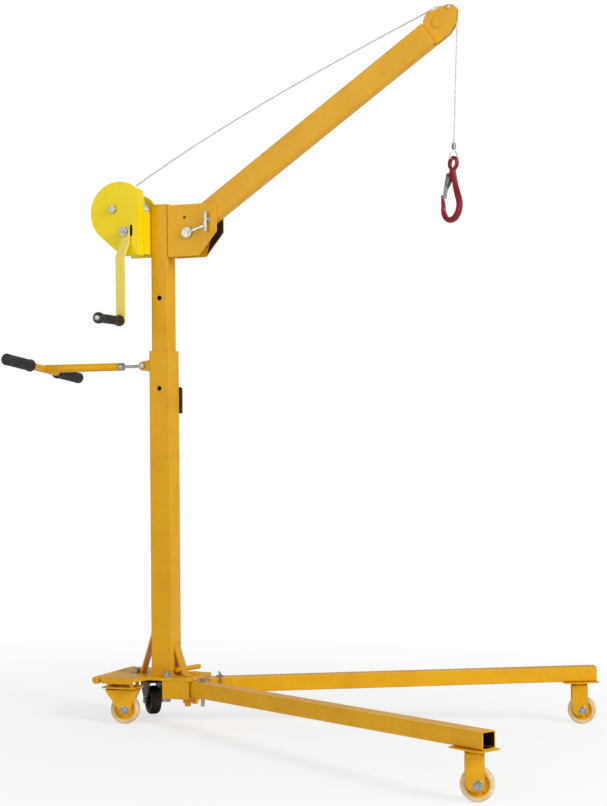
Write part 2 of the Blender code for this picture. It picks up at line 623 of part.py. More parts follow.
# ---- the boom ----
def build_boom(root, mats):
    yellow, zinc = mats["yellow"], mats["zinc"]
    boom = empty("boom_pivot", root, (BOOM_PIVOT_X, 0, BOOM_PIVOT_Z), (0, -BOOM_ANGLE, 0))
    line = BOOM_OFFSET
    tube = piece("boom_tube", box_tube("X", BOOM_WIDE, BOOM_TALL, BOOM_WALL, 0.005, -BOOM_BACK, BOOM_REACH,
                                       (0, line)), yellow, boom)
    plug = BOOM_WALL / 2
    join(tube, prism(rounded(rectangle(BOOM_WIDE - 2 * plug, BOOM_TALL - 2 * plug, (0, line)), 0.003), "X",
                     BOOM_REACH - BOOM_WALL, BOOM_REACH - 0.0005))
    cut(tube, rod("Y", (0, 0), PIVOT_R + RUN, -0.05, 0.05))
    lock = Matrix.Rotation(BOOM_ANGLE, 4, "Y") @ Vector((0.056, 0, 0.031))
    cut(tube, rod("Y", (lock.x, lock.z), 0.0065, -0.05, 0.05))
    slot_back = PULLEY_X - PULLEY_RIM_R - 0.002
    cut(tube, box((slot_back, BOOM_REACH + 0.01), (-TIP_INNER, TIP_INNER), (line - BOOM_TALL, line + BOOM_TALL)))

    inner = TIP_INNER
    outer = inner + TIP_WALL
    axle = (PULLEY_X, PULLEY_Z)
    back = BOOM_REACH + GAP - axle[0]
    corners = [(back, -0.0418), (0.0056, -0.0414), (0.0326, -0.0320), (0.0560, -0.0031),
               (0.0547, 0.0110), (0.0435, 0.0211), (-0.0116, 0.0381), (back, 0.0201)]
    shape = rounded([(axle[0] + x, axle[1] + z) for x, z in corners],
                    [0.003, 0.020, 0.020, 0.006, 0.006, 0.006, 0.012, 0.001])
    guard = (axle[0] + 0.0430, axle[1] + 0.0125)
    for side, label in ((-1, "near"), (1, "far")):
        span = sorted((side * inner, side * outer))
        plate = piece(f"tip_plate_{label}", prism(shape, "Y", *span), yellow, boom)
        cut(plate, rod("Y", axle, PIVOT_R + RUN, -0.05, 0.05))
        cut(plate, rod("Y", guard, 0.003 + RUN, -0.05, 0.05, 12))
    pin = piece("rope_guard_pin", rod("Y", guard, 0.003, -outer - 0.002, outer + 0.002, 12), zinc, boom)
    for start, stop in ((-outer - 0.003, -outer - GAP), (outer + GAP, outer + 0.003)):
        join(pin, rod("Y", guard, 0.005, start, stop, 12))

    pin = piece("pulley_axle", rod("Y", axle, PIVOT_R, -outer - 0.002, outer + 0.010), yellow, boom)
    join(pin, rod("Y", axle, 0.014, -outer - 0.0025, -outer - GAP))
    join(pin, hexagon("Y", axle, 0.024, outer + GAP, outer + 0.0085))

    half, rim, groove = PULLEY_HALF, PULLEY_RIM_R, PULLEY_ROPE_R - ROPE_R - 0.0003
    profile = [(PIVOT_R + RUN, -half), (0.015, -half), (0.016, -half + 0.001), (rim - 0.001, -half + 0.001),
               (rim, -half + 0.0015), (groove, -0.0018)]
    profile += [(r, -w) for r, w in reversed(profile)]
    piece("pulley", turned(profile, "Y", axle, WHEEL_SIDES), mats["zinc"], boom, (PULLEY_X, 0, PULLEY_Z))
    return boom


# ---- the winch ----
def winch_outline(inset=0.0, front=None):
    """The cover's side view: a round drum case that runs down to a flat foot, drawn smaller by `inset`."""
    radius = CASE_R - inset
    centre = (CASE_X, INNER_TOP - CASE_DROP)
    if front is None:
        front = -INNER_HALF - 0.003 - inset
    low = BRACKET_BOTTOM + 0.003 + inset
    start = math.degrees(math.acos((front - centre[0]) / radius))
    points = arc(centre, radius, start, 229.5, 20)
    knee = points[-1]
    slope = math.tan(math.radians(40.5))
    points.append((knee[0] + (knee[1] - low) / slope, low))
    points.append((front, low))
    return points


def gear(teeth, pitch_r, start, end, centre, phase):
    """A spur gear with straight-sided teeth and running backlash; a tooth's middle lies at `phase` degrees."""
    module = 2 * pitch_r / teeth
    root_r, tip_r = pitch_r - 1.2 * module, pitch_r + 0.8 * module
    step = 360 / teeth
    outline = []
    for i in range(teeth):
        for share, r in ((-0.30, root_r), (-0.10, tip_r), (0.10, tip_r), (0.30, root_r)):
            a = math.radians(phase + (i + share) * step)
            outline.append((centre[0] + r * math.cos(a), centre[1] + r * math.sin(a)))
    return prism(outline, "Y", start, end)


def build_winch(root, mats):
    lemon, zinc, dark = mats["lemon"], mats["zinc"], mats["dark"]
    face = -INNER_HALF - GAP
    side_out = 0.058
    wall = 0.004
    low, high = BRACKET_BOTTOM + 0.008, DRUM_Z - 0.004
    frame = piece("winch_frame", box((face - 0.005, face), (-side_out, side_out), (low, high)), lemon, root)
    shaft = (CRANK_X, CRANK_Z)
    drum = (WINCH_X, DRUM_Z)
    join(frame, prism(winch_outline(0.008, face - 0.002), "Y", -side_out, -side_out + wall))
    reach = 0.056
    far = [(face - 0.002, low + 0.002), (face - 0.002, high - 0.002)]
    far += arc(drum, reach, 15, 215, 14) + [(drum[0] - 0.020, low + 0.002)]
    join(frame, prism(far, "Y", side_out - wall, side_out))
    hub_r = 0.014
    cut(frame, rod("Y", drum, hub_r + 2 * RUN, -0.07, 0.0))
    cut(frame, rod("Y", drum, PIVOT_R + RUN, 0.0, 0.07))
    shaft_r = 0.007
    cut(frame, rod("Y", shaft, shaft_r + RUN, -0.07, 0.07))

    cover_out, skin = 0.090, 0.002
    cover = piece("gear_cover", prism(winch_outline(), "Y", -cover_out, -side_out - GAP), lemon, root)
    cut(cover, prism(winch_outline(skin), "Y", -cover_out + skin, 0.0))
    cut(cover, rod("Y", drum, PIVOT_R + RUN, -0.1, -0.06))
    cut(cover, rod("Y", shaft, shaft_r + 2 * RUN, -0.1, -0.06))
    slot = rounded(rectangle(0.008, 0.030, (CRANK_X + 0.013, shaft[1] + 0.004)), 0.0035)
    cut(cover, prism(slot, "Y", -0.1, -cover_out + 0.005))

    bolt = piece("drum_shaft", rod("Y", drum, PIVOT_R, -cover_out - 0.003, side_out + 0.010), zinc, root)
    join(bolt, hexagon("Y", drum, 0.019, -cover_out - 0.0075, -cover_out - GAP))
    join(bolt, hexagon("Y", drum, 0.019, side_out + GAP, side_out + 0.008))

    gear_near, gear_far = 0.068, 0.060
    inside = side_out - wall - 2 * GAP
    bore = PIVOT_R + RUN
    profile = [(bore, -gear_far - 0.001), (hub_r, -gear_far - 0.001), (hub_r, -inside), (0.054, -inside),
               (0.054, -inside + 0.003), (0.020, -inside + 0.003)]
    profile += [(0.020, inside - 0.003), (0.054, inside - 0.003), (0.054, inside), (bore, inside)]
    spool = piece("drum", turned(profile, "Y", drum, WHEEL_SIDES), dark, root, (WINCH_X, 0, DRUM_Z))
    toward = math.degrees(math.atan2(shaft[1] - drum[1], shaft[0] - drum[0]))
    join(spool, gear(GEAR_TEETH, GEAR_PITCH_R, -gear_near, -gear_far, drum, toward))
    cut(spool, rod("Y", drum, bore, -gear_near - 0.01, inside + 0.01, WHEEL_SIDES))

    crank = empty("crank", root, (shaft[0], 0, shaft[1]), (0, CRANK_ANGLE, 0))
    axle = (0, 0)
    pinion = gear(PINION_TEETH, PINION_PITCH_R, -gear_near, -gear_far, axle,
                  toward + 180 + 180 / PINION_TEETH + math.degrees(CRANK_ANGLE))
    arm_back, arm_out = -0.095, CRANK_OUT
    shaft_piece = piece("crank_shaft", rod("Y", axle, shaft_r, arm_back - CRANK_THICK - 0.012, side_out + 0.006),
                        zinc, crank)
    join(shaft_piece, pinion)
    join(shaft_piece, rod("Y", axle, 0.011, arm_back + GAP, -cover_out - GAP))
    join(shaft_piece, rod("Y", axle, 0.012, side_out + GAP, side_out + 0.005))

    front = arm_back - CRANK_THICK
    path = [(arm_back, 0.014), (arm_back, -0.030), (arm_back - arm_out, -0.070),
            (arm_back - arm_out, -CRANK_LONG - 0.0125), (front - arm_out, -CRANK_LONG - 0.0125),
            (front - arm_out, -0.068), (front, -0.028), (front, 0.014)]
    arm = piece("crank_arm", prism(path, "X", -CRANK_WIDE / 2, CRANK_WIDE / 2), mats["pale"], crank)
    end_r = CRANK_WIDE / 2
    shape = arc((0, 0.001), end_r + 0.0005, 0, 180, 10) + arc((0, -CRANK_LONG), end_r, 180, 360, 10)
    trim(arm, prism(shape, "Y", -0.2, 0.0))
    cut(arm, rod("Y", axle, shaft_r + RUN, -0.2, 0.0))
    bolt_r = 0.004
    grip_at = (0, -CRANK_LONG)
    cut(arm, rod("Y", grip_at, bolt_r + RUN, -0.2, 0.0, 16))
    nut = front - GAP
    join(shaft_piece, hexagon("Y", axle, 0.022, nut - 0.008, nut))

    near = front - arm_out - GAP
    end = near - GRIP_LONG
    profile = [(bolt_r + RUN, near), (0.0125, near), (0.0145, near - 0.004), (0.0145, near - 0.012),
               (0.0105, near - 0.020), (0.0108, (near + end) / 2), (0.0105, end + 0.020),
               (0.0145, end + 0.012), (0.0145, end + 0.004), (0.0125, end), (bolt_r + RUN, end)]
    piece("crank_grip", turned(profile, "Y", grip_at), mats["black"], crank, (0, near, -CRANK_LONG))
    bolt = piece("crank_grip_bolt", rod("Y", grip_at, bolt_r, end - 0.002, near + CRANK_THICK + 0.003, 16),
                 zinc, crank, (0, near, -CRANK_LONG))
    join(bolt, turned([(0, end - 0.0055), (0.006, end - 0.005), (0.008, end - GAP), (0, end - GAP)], "Y",
                      grip_at, 16))
    join(bolt, rod("Y", grip_at, 0.0065, near + CRANK_THICK + 3 * GAP, near + CRANK_THICK + 0.0035, 16))


# ---- the rope and the hook ----
def build_rope(root, boom, tilt, mats):
    rope = mats["rope"]
    drum = Vector((WINCH_X, DRUM_Z))
    flat = Vector((BOOM_PIVOT_X, BOOM_PIVOT_Z))
    turn = Matrix.Rotation(BOOM_ANGLE, 2)
    pulley = flat + turn @ Vector((PULLEY_X, PULLEY_Z))

    piece("rope_on_drum", turned([(0.0203, -0.030), (DRUM_ROPE_R - ROPE_R - GAP, -0.030),
                                  (DRUM_ROPE_R - ROPE_R - GAP, 0.030), (0.0203, 0.030)], "Y", tuple(drum),
                                 WHEEL_SIDES),
          rope, root, (drum.x, 0, drum.y))

    between = pulley - drum
    lean = math.atan2(between.y, between.x) + math.asin((DRUM_ROPE_R - PULLEY_ROPE_R) / between.length)
    ends = []
    for centre, radius, slope in ((drum, DRUM_ROPE_R, lean + ROPE_BOW), (pulley, PULLEY_ROPE_R, lean - ROPE_BOW)):
        along = Vector((math.cos(slope), math.sin(slope)))
        ends.append((centre + Vector((-along.y, along.x)) * radius, along * between.length / 3))
    (start, out), (stop, into) = ends
    points = [p.to_2d() for p in interpolate_bezier(start.to_3d(), (start + out).to_3d(), (stop - into).to_3d(),
                                                    stop.to_3d(), 20)[:-1]]
    leaves = math.radians(ROPE_LEAVES) - tilt
    points += [Vector(p) for p in arc(tuple(pulley), PULLEY_ROPE_R, math.degrees(lean - ROPE_BOW) + 90,
                                      math.degrees(leaves), 10)[:-1]]
    level = math.cos(math.radians(ROPE_LEAVES))
    bend_r = (FALL_X - PULLEY_ROPE_R * level) / (1 - level)
    offset = PULLEY_ROPE_R - bend_r
    bend = pulley + Vector((math.cos(leaves), math.sin(leaves))) * offset
    points += [Vector(p) for p in arc(tuple(bend), bend_r, math.degrees(leaves), -math.degrees(tilt), 8)]
    drop = -offset * math.sin(math.radians(ROPE_LEAVES)) + GAP
    back = Matrix.Rotation(-BOOM_ANGLE, 2)
    local = [back @ (p - flat) for p in points]
    cord("rope_run", [(p.x, 0, p.y) for p in local], ROPE_R, rope, boom)

    hang = empty("hang", root, (pulley.x, 0, pulley.y), (0, tilt, 0))
    x = FALL_X
    steps = 12
    span = HOOK_DROP - GAP - drop
    cord("rope_fall", [(x, 0, -drop - span * i / steps) for i in range(steps + 1)], ROPE_R, rope, hang)
    low = -HOOK_DROP - FERRULE_LONG
    profile = [(0, -HOOK_DROP), (0.0045, -HOOK_DROP), (0.0058, -HOOK_DROP - 0.002), (0.0058, low + 0.002),
               (0.0045, low), (0, low)]
    piece("rope_ferrule", turned(profile, "Z", (x, 0), 16), mats["zinc"], hang, (x, 0, -HOOK_DROP))

    swivel = empty("hook_swivel", hang, (x, 0, low), (0, 0, HOOK_YAW))
    eye_r, eye_in, eye_half = 0.019, 0.0108, 0.0057
    eye_z = -EYE_DROP - eye_r
    loop_low = eye_z + eye_in - ROPE_R - GAP
    loop_top = -GAP - ROPE_R
    centre = (loop_top + loop_low) / 2
    tall = (loop_top - loop_low) / 2
    loop = []
    for i in range(28):
        a = 2 * math.pi * i / 28
        wide = 0.0105 * (1 - 0.45 * math.sin(a))
        loop.append((0, wide * math.cos(a), centre + tall * math.sin(a)))
    cord("rope_loop", loop, ROPE_R, rope, swivel, True)

    bowl_r = 0.025
    bowl_x, bowl_z = -0.005, eye_z - 0.106
    path = []
    for i in range(15):
        share = i / 14
        a = math.radians(172 + 218 * share)
        wide = 0.0058 + 0.0050 * share ** 1.1
        path.append((bowl_x + (bowl_r + wide) * math.cos(a), bowl_z + (bowl_r + wide) * math.sin(a), wide,
                     0.0058 + 0.0026 * math.sin(math.pi * share)))
    last = Vector((path[-1][0], path[-1][1]))
    for i, p in enumerate(interpolate_bezier(last, last + Vector((-0.013, 0.024)),
                                             Vector((0.005, eye_z - 0.038)),
                                             Vector((0, eye_z - eye_in - 0.0038)), 8)[1:]):
        share = (i + 1) / 7
        path.append((p[0], p[1], 0.0108 - 0.0042 * share, 0.0058 + 0.0004 * share))
    tip = [(bowl_x - 0.0370, bowl_z + 0.031, 0.0020, 0.0032), (bowl_x - 0.0340, bowl_z + 0.019, 0.0044, 0.0050)]
    hook = piece("hook", sweep(tip + path), mats["crimson"], swivel)
    ring = [(eye_in, -eye_half + 0.003), (eye_in + 0.003, -eye_half), (eye_r - 0.003, -eye_half),
            (eye_r, -eye_half + 0.003)]
    ring += [(r, -w) for r, w in reversed(ring)]
    join(hook, turned(ring, "Y", (0, eye_z)))
    boss = (-0.010, eye_z - 0.030)
    join(hook, rod("Y", boss, 0.0085, -0.0045, 0.0045, 16))
    join(hook, box((boss[0], 0.006), (-0.0045, 0.0045), (boss[1] - 0.008, boss[1] + 0.014)))
    pin_r = 0.002
    join(hook, rod("Y", boss, pin_r, -0.0085, 0.0085, 16))
    for start_y, stop_y in ((-0.0092, -0.0073), (0.0073, 0.0092)):
        join(hook, rod("Y", boss, 0.0036, start_y, stop_y, 12))

    rest = Vector((bowl_x - 0.0280, bowl_z + 0.0215)) - Vector(boss)
    web, skin = 0.0099, 0.0006
    length = math.sqrt(rest.length_squared - web ** 2)
    slant = math.atan2(rest.y, rest.x) + math.asin(web / rest.length)
    latch = empty("latch_pivot", swivel, (boss[0], 0, boss[1]), (0, -slant, 0))
    cheek = 0.0050
    outer = cheek + 2 * skin
    strip = piece("hook_latch", box((-0.005, length), (-outer, outer), (-web - skin, -web + skin)),
                  mats["zinc"], latch)
    shape = rounded([(-0.005, -web), (0.034, -web), (0.034, -web + 0.002), (0.008, 0.005), (-0.005, 0.005)],
                    [0, 0.0008, 0.0008, 0.004, 0.004])
    for side in (-1, 1):
        join(strip, prism(shape, "Y", *sorted((side * cheek, side * outer))))
    cut(strip, rod("Y", (0, 0), pin_r + RUN, -0.02, 0.02, 12))


# ---- the tow handle ----
def build_handle(root, mats):
    yellow, zinc = mats["yellow"], mats["zinc"]
    pivot = empty("handle_pivot", root, (-HANDLE_PIVOT_X, 0, HANDLE_Z))
    turned_stem = empty("handle_twist", pivot, (0, 0, 0), (HANDLE_TWIST, 0, 0))
    fork_back, nut_end = 0.062, 0.076
    lug = piece("handle_rod", rod("X", (0, 0), 0.004, -nut_end - 0.020, -0.006, 16), zinc, pivot)
    eye_half = 0.009
    join(lug, rod("Y", (0, 0), 0.0095, -eye_half, eye_half))
    cut(lug, rod("Y", (0, 0), 0.0046, -0.03, 0.03))
    join(lug, turned([(0, -nut_end + GAP), (0.0095, -nut_end + GAP), (0.0105, -nut_end + 0.0015),
                      (0.0105, -fork_back - 0.0015), (0.0095, -fork_back), (0, -fork_back)], "X", (0, 0)))
    shrink = 0.0105
    stem = piece("handle_stem", rod("X", (0, 0), shrink, -HANDLE_REACH + CROSSBAR_R - 0.002, -nut_end), yellow,
                 turned_stem)
    cut(stem, rod("X", (0, 0), 0.0043, -nut_end - 0.022, -nut_end + 0.01, 16))
    cut(stem, rod("Y", (-HANDLE_REACH, 0), CROSSBAR_R + GAP, -0.05, 0.05, WHEEL_SIDES))
    bar_half = CROSSBAR_HALF
    piece("handle_crossbar", rod("Y", (-HANDLE_REACH, 0), CROSSBAR_R, -bar_half, bar_half), yellow, turned_stem)
    end = bar_half + 0.010
    start = end - HAND_GRIP
    for side, label in ((-1, "near"), (1, "far")):
        bore = CROSSBAR_R + GAP
        profile = [(bore, start), (GRIP_R + 0.0015, start), (GRIP_R + 0.0015, start + 0.004),
                   (GRIP_R, start + 0.006), (GRIP_R - 0.001, (start + end) / 2), (GRIP_R, end - 0.008),
                   (GRIP_R - 0.002, end - 0.001), (GRIP_R - 0.004, end), (0, end), (0, bar_half + GAP),
                   (bore, bar_half + GAP)]
        piece(f"handle_grip_{label}", turned([(r, side * w) for r, w in profile], "Y", (-HANDLE_REACH, 0)),
              mats["black"], turned_stem)


# ---- the whole crane ----
def build():
    for obj in list(bpy.data.objects):
        bpy.data.objects.remove(obj, do_unlink=True)
    mats = {
        "yellow": material("yellow_enamel", (0.66, 0.36, 0.008), 0.38, 0.0),
        "lemon": material("lemon_enamel", (0.90, 0.66, 0.02), 0.32, 0.0),
        "pale": material("pale_enamel", (0.92, 0.78, 0.30), 0.35, 0.0),
        "zinc": material("zinc_plated_steel", (0.55, 0.55, 0.53), 0.35, 1.0),
        "dark": material("oiled_steel", (0.06, 0.055, 0.05), 0.5, 0.8),
        "black": material("black_rubber", (0.012, 0.012, 0.012), 0.6, 0.0),
        "urethane": material("cream_polyurethane", (0.75, 0.55, 0.25), 0.35, 0.0),
        "rope": material("steel_wire_rope", (0.32, 0.31, 0.29), 0.45, 0.9),
        "crimson": material("crimson_enamel", (0.26, 0.01, 0.03), 0.3, 0.0),
    }
    leg_x = LEG_PIVOT_X + (LEG_START + LEG_LENGTH - FRONT_CASTER_BACK) * math.cos(LEG_HALF_ANGLE)
    tilt = math.atan(REAR_CONTACT / (leg_x + REAR_CASTER_X))
    root = empty("crane_frame", None, (0, 0, 0), (0, -tilt, 0))

    build_base(root, mats)
    build_outer_mast(root, mats)
    for side, label in ((-1, "near"), (1, "far")):
        build_leg(label, side, root, mats)
    rear = REAR_CASTER_HEIGHT
    build_caster("rear_caster_near", root, (-REAR_CASTER_X, -REAR_CASTER_Y, REAR_PLATE_TOP),
                 math.radians(18), rear, True, mats, mats["yellow"], mats["urethane"])
    build_caster("rear_caster_far", root, (-REAR_CASTER_X, REAR_CASTER_Y, REAR_PLATE_TOP),
                 math.radians(-47), rear, True, mats, mats["dark"], mats["black"])
    build_head(root, mats)
    boom = build_boom(root, mats)
    build_winch(root, mats)
    build_rope(root, boom, tilt, mats)
    build_handle(root, mats)

    bpy.context.view_layer.update()
    corners = [obj.matrix_world @ v.co for obj in bpy.data.objects if obj.type == "MESH" and not obj.hide_render
               for v in obj.data.vertices]
    low = [min(c[i] for c in corners) for i in range(3)]
    high = [max(c[i] for c in corners) for i in range(3)]
    root.location = (-(low[0] + high[0]) / 2, -(low[1] + high[1]) / 2, -low[2])


build()
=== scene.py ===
"""Portable folding jib crane in a plain studio: finishes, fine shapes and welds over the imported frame."""
import json
import math

import bmesh
import bpy
from mathutils import Matrix, Vector
from mathutils.bvhtree import BVHTree
from mathutils.geometry import interpolate_bezier

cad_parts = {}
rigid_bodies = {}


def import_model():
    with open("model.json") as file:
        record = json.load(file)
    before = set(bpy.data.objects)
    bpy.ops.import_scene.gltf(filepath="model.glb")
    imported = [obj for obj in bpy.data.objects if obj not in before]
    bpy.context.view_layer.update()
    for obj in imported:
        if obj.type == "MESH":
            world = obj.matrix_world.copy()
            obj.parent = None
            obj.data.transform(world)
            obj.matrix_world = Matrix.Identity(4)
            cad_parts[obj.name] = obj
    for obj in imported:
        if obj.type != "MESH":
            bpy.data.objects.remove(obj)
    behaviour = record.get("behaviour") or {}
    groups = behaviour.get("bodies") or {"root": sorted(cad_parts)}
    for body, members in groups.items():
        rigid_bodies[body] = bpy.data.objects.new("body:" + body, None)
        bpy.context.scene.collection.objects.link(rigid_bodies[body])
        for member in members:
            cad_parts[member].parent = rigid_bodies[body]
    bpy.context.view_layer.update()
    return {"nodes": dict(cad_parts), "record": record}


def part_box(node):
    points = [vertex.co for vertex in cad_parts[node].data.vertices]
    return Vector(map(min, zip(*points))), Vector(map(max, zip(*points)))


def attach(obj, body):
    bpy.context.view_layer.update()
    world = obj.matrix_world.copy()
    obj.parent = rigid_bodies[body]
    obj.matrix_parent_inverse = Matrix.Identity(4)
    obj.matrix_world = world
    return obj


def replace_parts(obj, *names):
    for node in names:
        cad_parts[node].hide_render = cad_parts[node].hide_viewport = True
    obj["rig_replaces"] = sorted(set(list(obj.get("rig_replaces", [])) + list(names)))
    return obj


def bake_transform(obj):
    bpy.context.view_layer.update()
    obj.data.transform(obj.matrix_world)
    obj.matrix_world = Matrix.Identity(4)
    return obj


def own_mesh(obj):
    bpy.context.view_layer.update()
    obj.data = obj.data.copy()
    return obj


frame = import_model()

RECORD = frame["record"]
NODES = frame["nodes"]
BODY_OF = {node: body for body, nodes in RECORD["behaviour"]["bodies"].items() for node in nodes}
SLOT_OF = {part["node"]: part["material_slot"] for part in RECORD["subparts"]}
JOINTS = {joint["name"]: joint for joint in RECORD["behaviour"]["joints"]}


# ---- the crane's own frame: X forward, Y to the left, Z up the mast, zero at the front wheels ----
UP = Vector(JOINTS["mast_slide"]["axis"]).normalized()
LEAN = math.atan2(-UP.x, UP.z)
INNER_LOW = 0.5998              # foot of the inner mast in the crane's frame
FOOT = Vector(JOINTS["mast_slide"]["pos_m"]) - UP * INNER_LOW
CRANE = Matrix.Translation(FOOT) @ Matrix.Rotation(-LEAN, 4, "Y")


def crane_point(x, y, z):
    return CRANE @ Vector((x, y, z))


def joint_frame(name, along="Y"):
    """A matrix at a joint whose chosen axis lies along it, with Z as near the mast's as it can be."""
    axis = Vector(JOINTS[name]["axis"]).normalized()
    place = Vector(JOINTS[name]["pos_m"])
    if along == "Z":
        x = (CRANE.to_3x3() @ Vector((1, 0, 0))).normalized()
        y = axis.cross(x).normalized()
        x = y.cross(axis)
        turn = Matrix((x, y, axis)).transposed()
    else:
        x = axis.cross(UP).normalized()
        turn = Matrix((x, axis, x.cross(axis))).transposed()
    return Matrix.Translation(place) @ turn.to_4x4()


# ---- colours and node helpers ----
def linear(hex_colour):
    """sRGB hex to a linear RGBA colour."""
    values = [int(hex_colour[i:i + 2], 16) / 255 for i in (0, 2, 4)]
    return tuple(v / 12.92 if v <= 0.04045 else ((v + 0.055) / 1.055) ** 2.4 for v in values) + (1.0,)


def add(tree, kind, settings=None, inputs=None, links=None):
    """One shader node: attributes, socket values and links given by socket name or number."""
    item = tree.nodes.new(kind)
    for name, value in (settings or {}).items():
        setattr(item, name, value)
    for name, value in (inputs or {}).items():
        item.inputs[name].default_value = value
    for name, source in (links or {}).items():
        tree.links.new(source, item.inputs[name])
    return item


def new_material(name):
    mat = bpy.data.materials.new(name)
    mat.use_nodes = True
    tree = mat.node_tree
    tree.nodes.clear()
    return mat, tree


def ramp(tree, factor, stops):
    item = add(tree, "ShaderNodeValToRGB", links={"Fac": factor})
    points = item.color_ramp.elements
    while len(points) < len(stops):
        points.new(1.0)
    for point, (place, colour) in zip(points, stops):
        point.position = place
        point.color = colour if isinstance(colour, tuple) else (colour, colour, colour, 1.0)
    return item.outputs["Color"]


def noise(tree, coords, size_mm, detail=3.0, roughness=0.55):
    """Noise whose features are about `size_mm` across."""
    item = add(tree, "ShaderNodeTexNoise", inputs={"Scale": 1000 / size_mm, "Detail": detail,
                                                   "Roughness": roughness}, links={"Vector": coords})
    return item.outputs["Fac"]


def finish_material(tree, base, roughness, bump=None, **shader_inputs):
    """The Principled shader; base and roughness are sockets or plain values."""
    names = {"metallic": "Metallic", "ior": "IOR", "coat": "Coat Weight", "coat_roughness": "Coat Roughness",
             "transmission": "Transmission Weight", "subsurface": "Subsurface Weight",
             "subsurface_scale": "Subsurface Scale", "sheen": "Sheen Weight"}
    inputs = {names[key]: value for key, value in shader_inputs.items()}
    links = {}
    for socket, value in (("Base Color", base), ("Roughness", roughness)):
        if isinstance(value, bpy.types.NodeSocket):
            links[socket] = value
        else:
            inputs[socket] = value
    if bump is not None:
        links["Normal"] = bump
    shader = add(tree, "ShaderNodeBsdfPrincipled", inputs=inputs, links=links)
    add(tree, "ShaderNodeOutputMaterial", links={"Surface": shader.outputs["BSDF"]})
    return shader


def bumped(tree, height, distance_mm, strength=1.0, under=None):
    links = {"Height": height}
    if under is not None:
        links["Normal"] = under
    item = add(tree, "ShaderNodeBump", inputs={"Distance": distance_mm / 1000, "Strength": strength},
               links=links)
    return item.outputs["Normal"]


def enamel(name, colour, shade, dust, peel=1.0, rough=0.30):
    """Sprayed enamel on steel: even colour, faint orange peel, thin dust and a few chips to the metal."""
    mat, tree = new_material(name)
    coords = add(tree, "ShaderNodeTexCoord").outputs["Object"]
    cloud = noise(tree, coords, 90, 4)
    base = ramp(tree, cloud, [(0.30, linear(shade)), (0.62, linear(colour))])
    soil = ramp(tree, noise(tree, coords, 38, 6, 0.65), [(0.60, 0.0), (0.90, 0.22)])
    dusty = add(tree, "ShaderNodeMix", {"data_type": "RGBA"}, {7: linear(dust)}, {0: soil, 6: base})
    chip = ramp(tree, noise(tree, coords, 6, 2, 0.4), [(0.775, 0.0), (0.79, 1.0)])
    sparse = ramp(tree, noise(tree, coords, 55, 2), [(0.52, 0.0), (0.60, 1.0)])
    chips = add(tree, "ShaderNodeMath", {"operation": "MULTIPLY"}, links={0: chip, 1: sparse})
    painted = add(tree, "ShaderNodeMix", {"data_type": "RGBA"}, {7: linear("5B5146")},
                  {0: chips.outputs[0], 6: dusty.outputs[2]})
    gloss = ramp(tree, noise(tree, coords, 26, 4), [(0.35, rough - 0.05), (0.70, rough + 0.10)])
    flow = bumped(tree, noise(tree, coords, 2.6, 2), 0.05, 0.35 * peel)
    surface = bumped(tree, chips.outputs[0], 0.12, -0.6, flow)
    finish_material(tree, painted.outputs[2], gloss, surface, coat=0.03, coat_roughness=0.15, ior=1.34)
    return mat


def zinc_plate(name="bright_zinc_plate", tint="C9C8C1"):
    """Zinc-plated steel: silvery, finely mottled, a little scuffed."""
    mat, tree = new_material(name)
    coords = add(tree, "ShaderNodeTexCoord").outputs["Object"]
    base = ramp(tree, noise(tree, coords, 9, 5, 0.6), [(0.30, linear("8F8E88")), (0.65, linear(tint))])
    gloss = ramp(tree, noise(tree, coords, 4, 4), [(0.30, 0.24), (0.70, 0.46)])
    surface = bumped(tree, noise(tree, coords, 1.2, 3), 0.03, 0.5)
    finish_material(tree, base, gloss, surface, metallic=1.0)
    return mat


def oiled_steel():
    """Machined steel under old oil: dark, with brown films and dull patches."""
    mat, tree = new_material("oiled_machined_steel")
    coords = add(tree, "ShaderNodeTexCoord").outputs["Object"]
    base = ramp(tree, noise(tree, coords, 14, 5), [(0.30, linear("2B2723")), (0.70, linear("57504A"))])
    gloss = ramp(tree, noise(tree, coords, 7, 3), [(0.30, 0.30), (0.70, 0.62)])
    finish_material(tree, base, gloss, bumped(tree, noise(tree, coords, 1.5, 2), 0.04, 0.5), metallic=0.85)
    return mat


def scale_and_shade_lining():
    """Near-black brown with dull patches for the faces inside hollows: painted shade where light falls off
    inside them; inside the tubes it also stands for bare hot-rolled scale.
    """
    mat, tree = new_material("scale_and_painted_shade")
    coords = add(tree, "ShaderNodeTexCoord").outputs["Object"]
    # painted shade: near-black browns stand for the dark inside hollows
    base = ramp(tree, noise(tree, coords, 18, 5), [(0.35, linear("1E1712")), (0.75, linear("3E2A1A"))])
    gloss = ramp(tree, noise(tree, coords, 8, 3), [(0.30, 0.55), (0.70, 0.80)])
    finish_material(tree, base, gloss, bumped(tree, noise(tree, coords, 1.2, 3), 0.05, 0.6), metallic=0.3)
    return mat


def moulded_rubber(name="moulded_black_rubber", dark="121212", light="2A2A2A"):
    """Moulded rubber: near black, softly matt, with fine mould grain and a grey bloom of dust."""
    mat, tree = new_material(name)
    coords = add(tree, "ShaderNodeTexCoord").outputs["Object"]
    base = ramp(tree, noise(tree, coords, 22, 5), [(0.35, linear(dark)), (0.80, linear(light))])
    gloss = ramp(tree, noise(tree, coords, 10, 3), [(0.3, 0.42), (0.7, 0.62)])
    finish_material(tree, base, gloss, bumped(tree, noise(tree, coords, 0.9, 2), 0.04, 0.6), ior=1.52)
    return mat


def cast_urethane():
    """Cast polyurethane: cream to amber, light glows a little way into it, smooth and waxy."""
    mat, tree = new_material("cast_polyurethane")
    coords = add(tree, "ShaderNodeTexCoord").outputs["Object"]
    base = ramp(tree, noise(tree, coords, 30, 4), [(0.30, linear("D9B777")), (0.70, linear("F1DDAE"))])
    gloss = ramp(tree, noise(tree, coords, 12, 4), [(0.3, 0.26), (0.7, 0.45)])
    finish_material(tree, base, gloss, bumped(tree, noise(tree, coords, 3, 3), 0.05, 0.4),
                    subsurface=0.35, subsurface_scale=0.006, ior=1.5)
    return mat


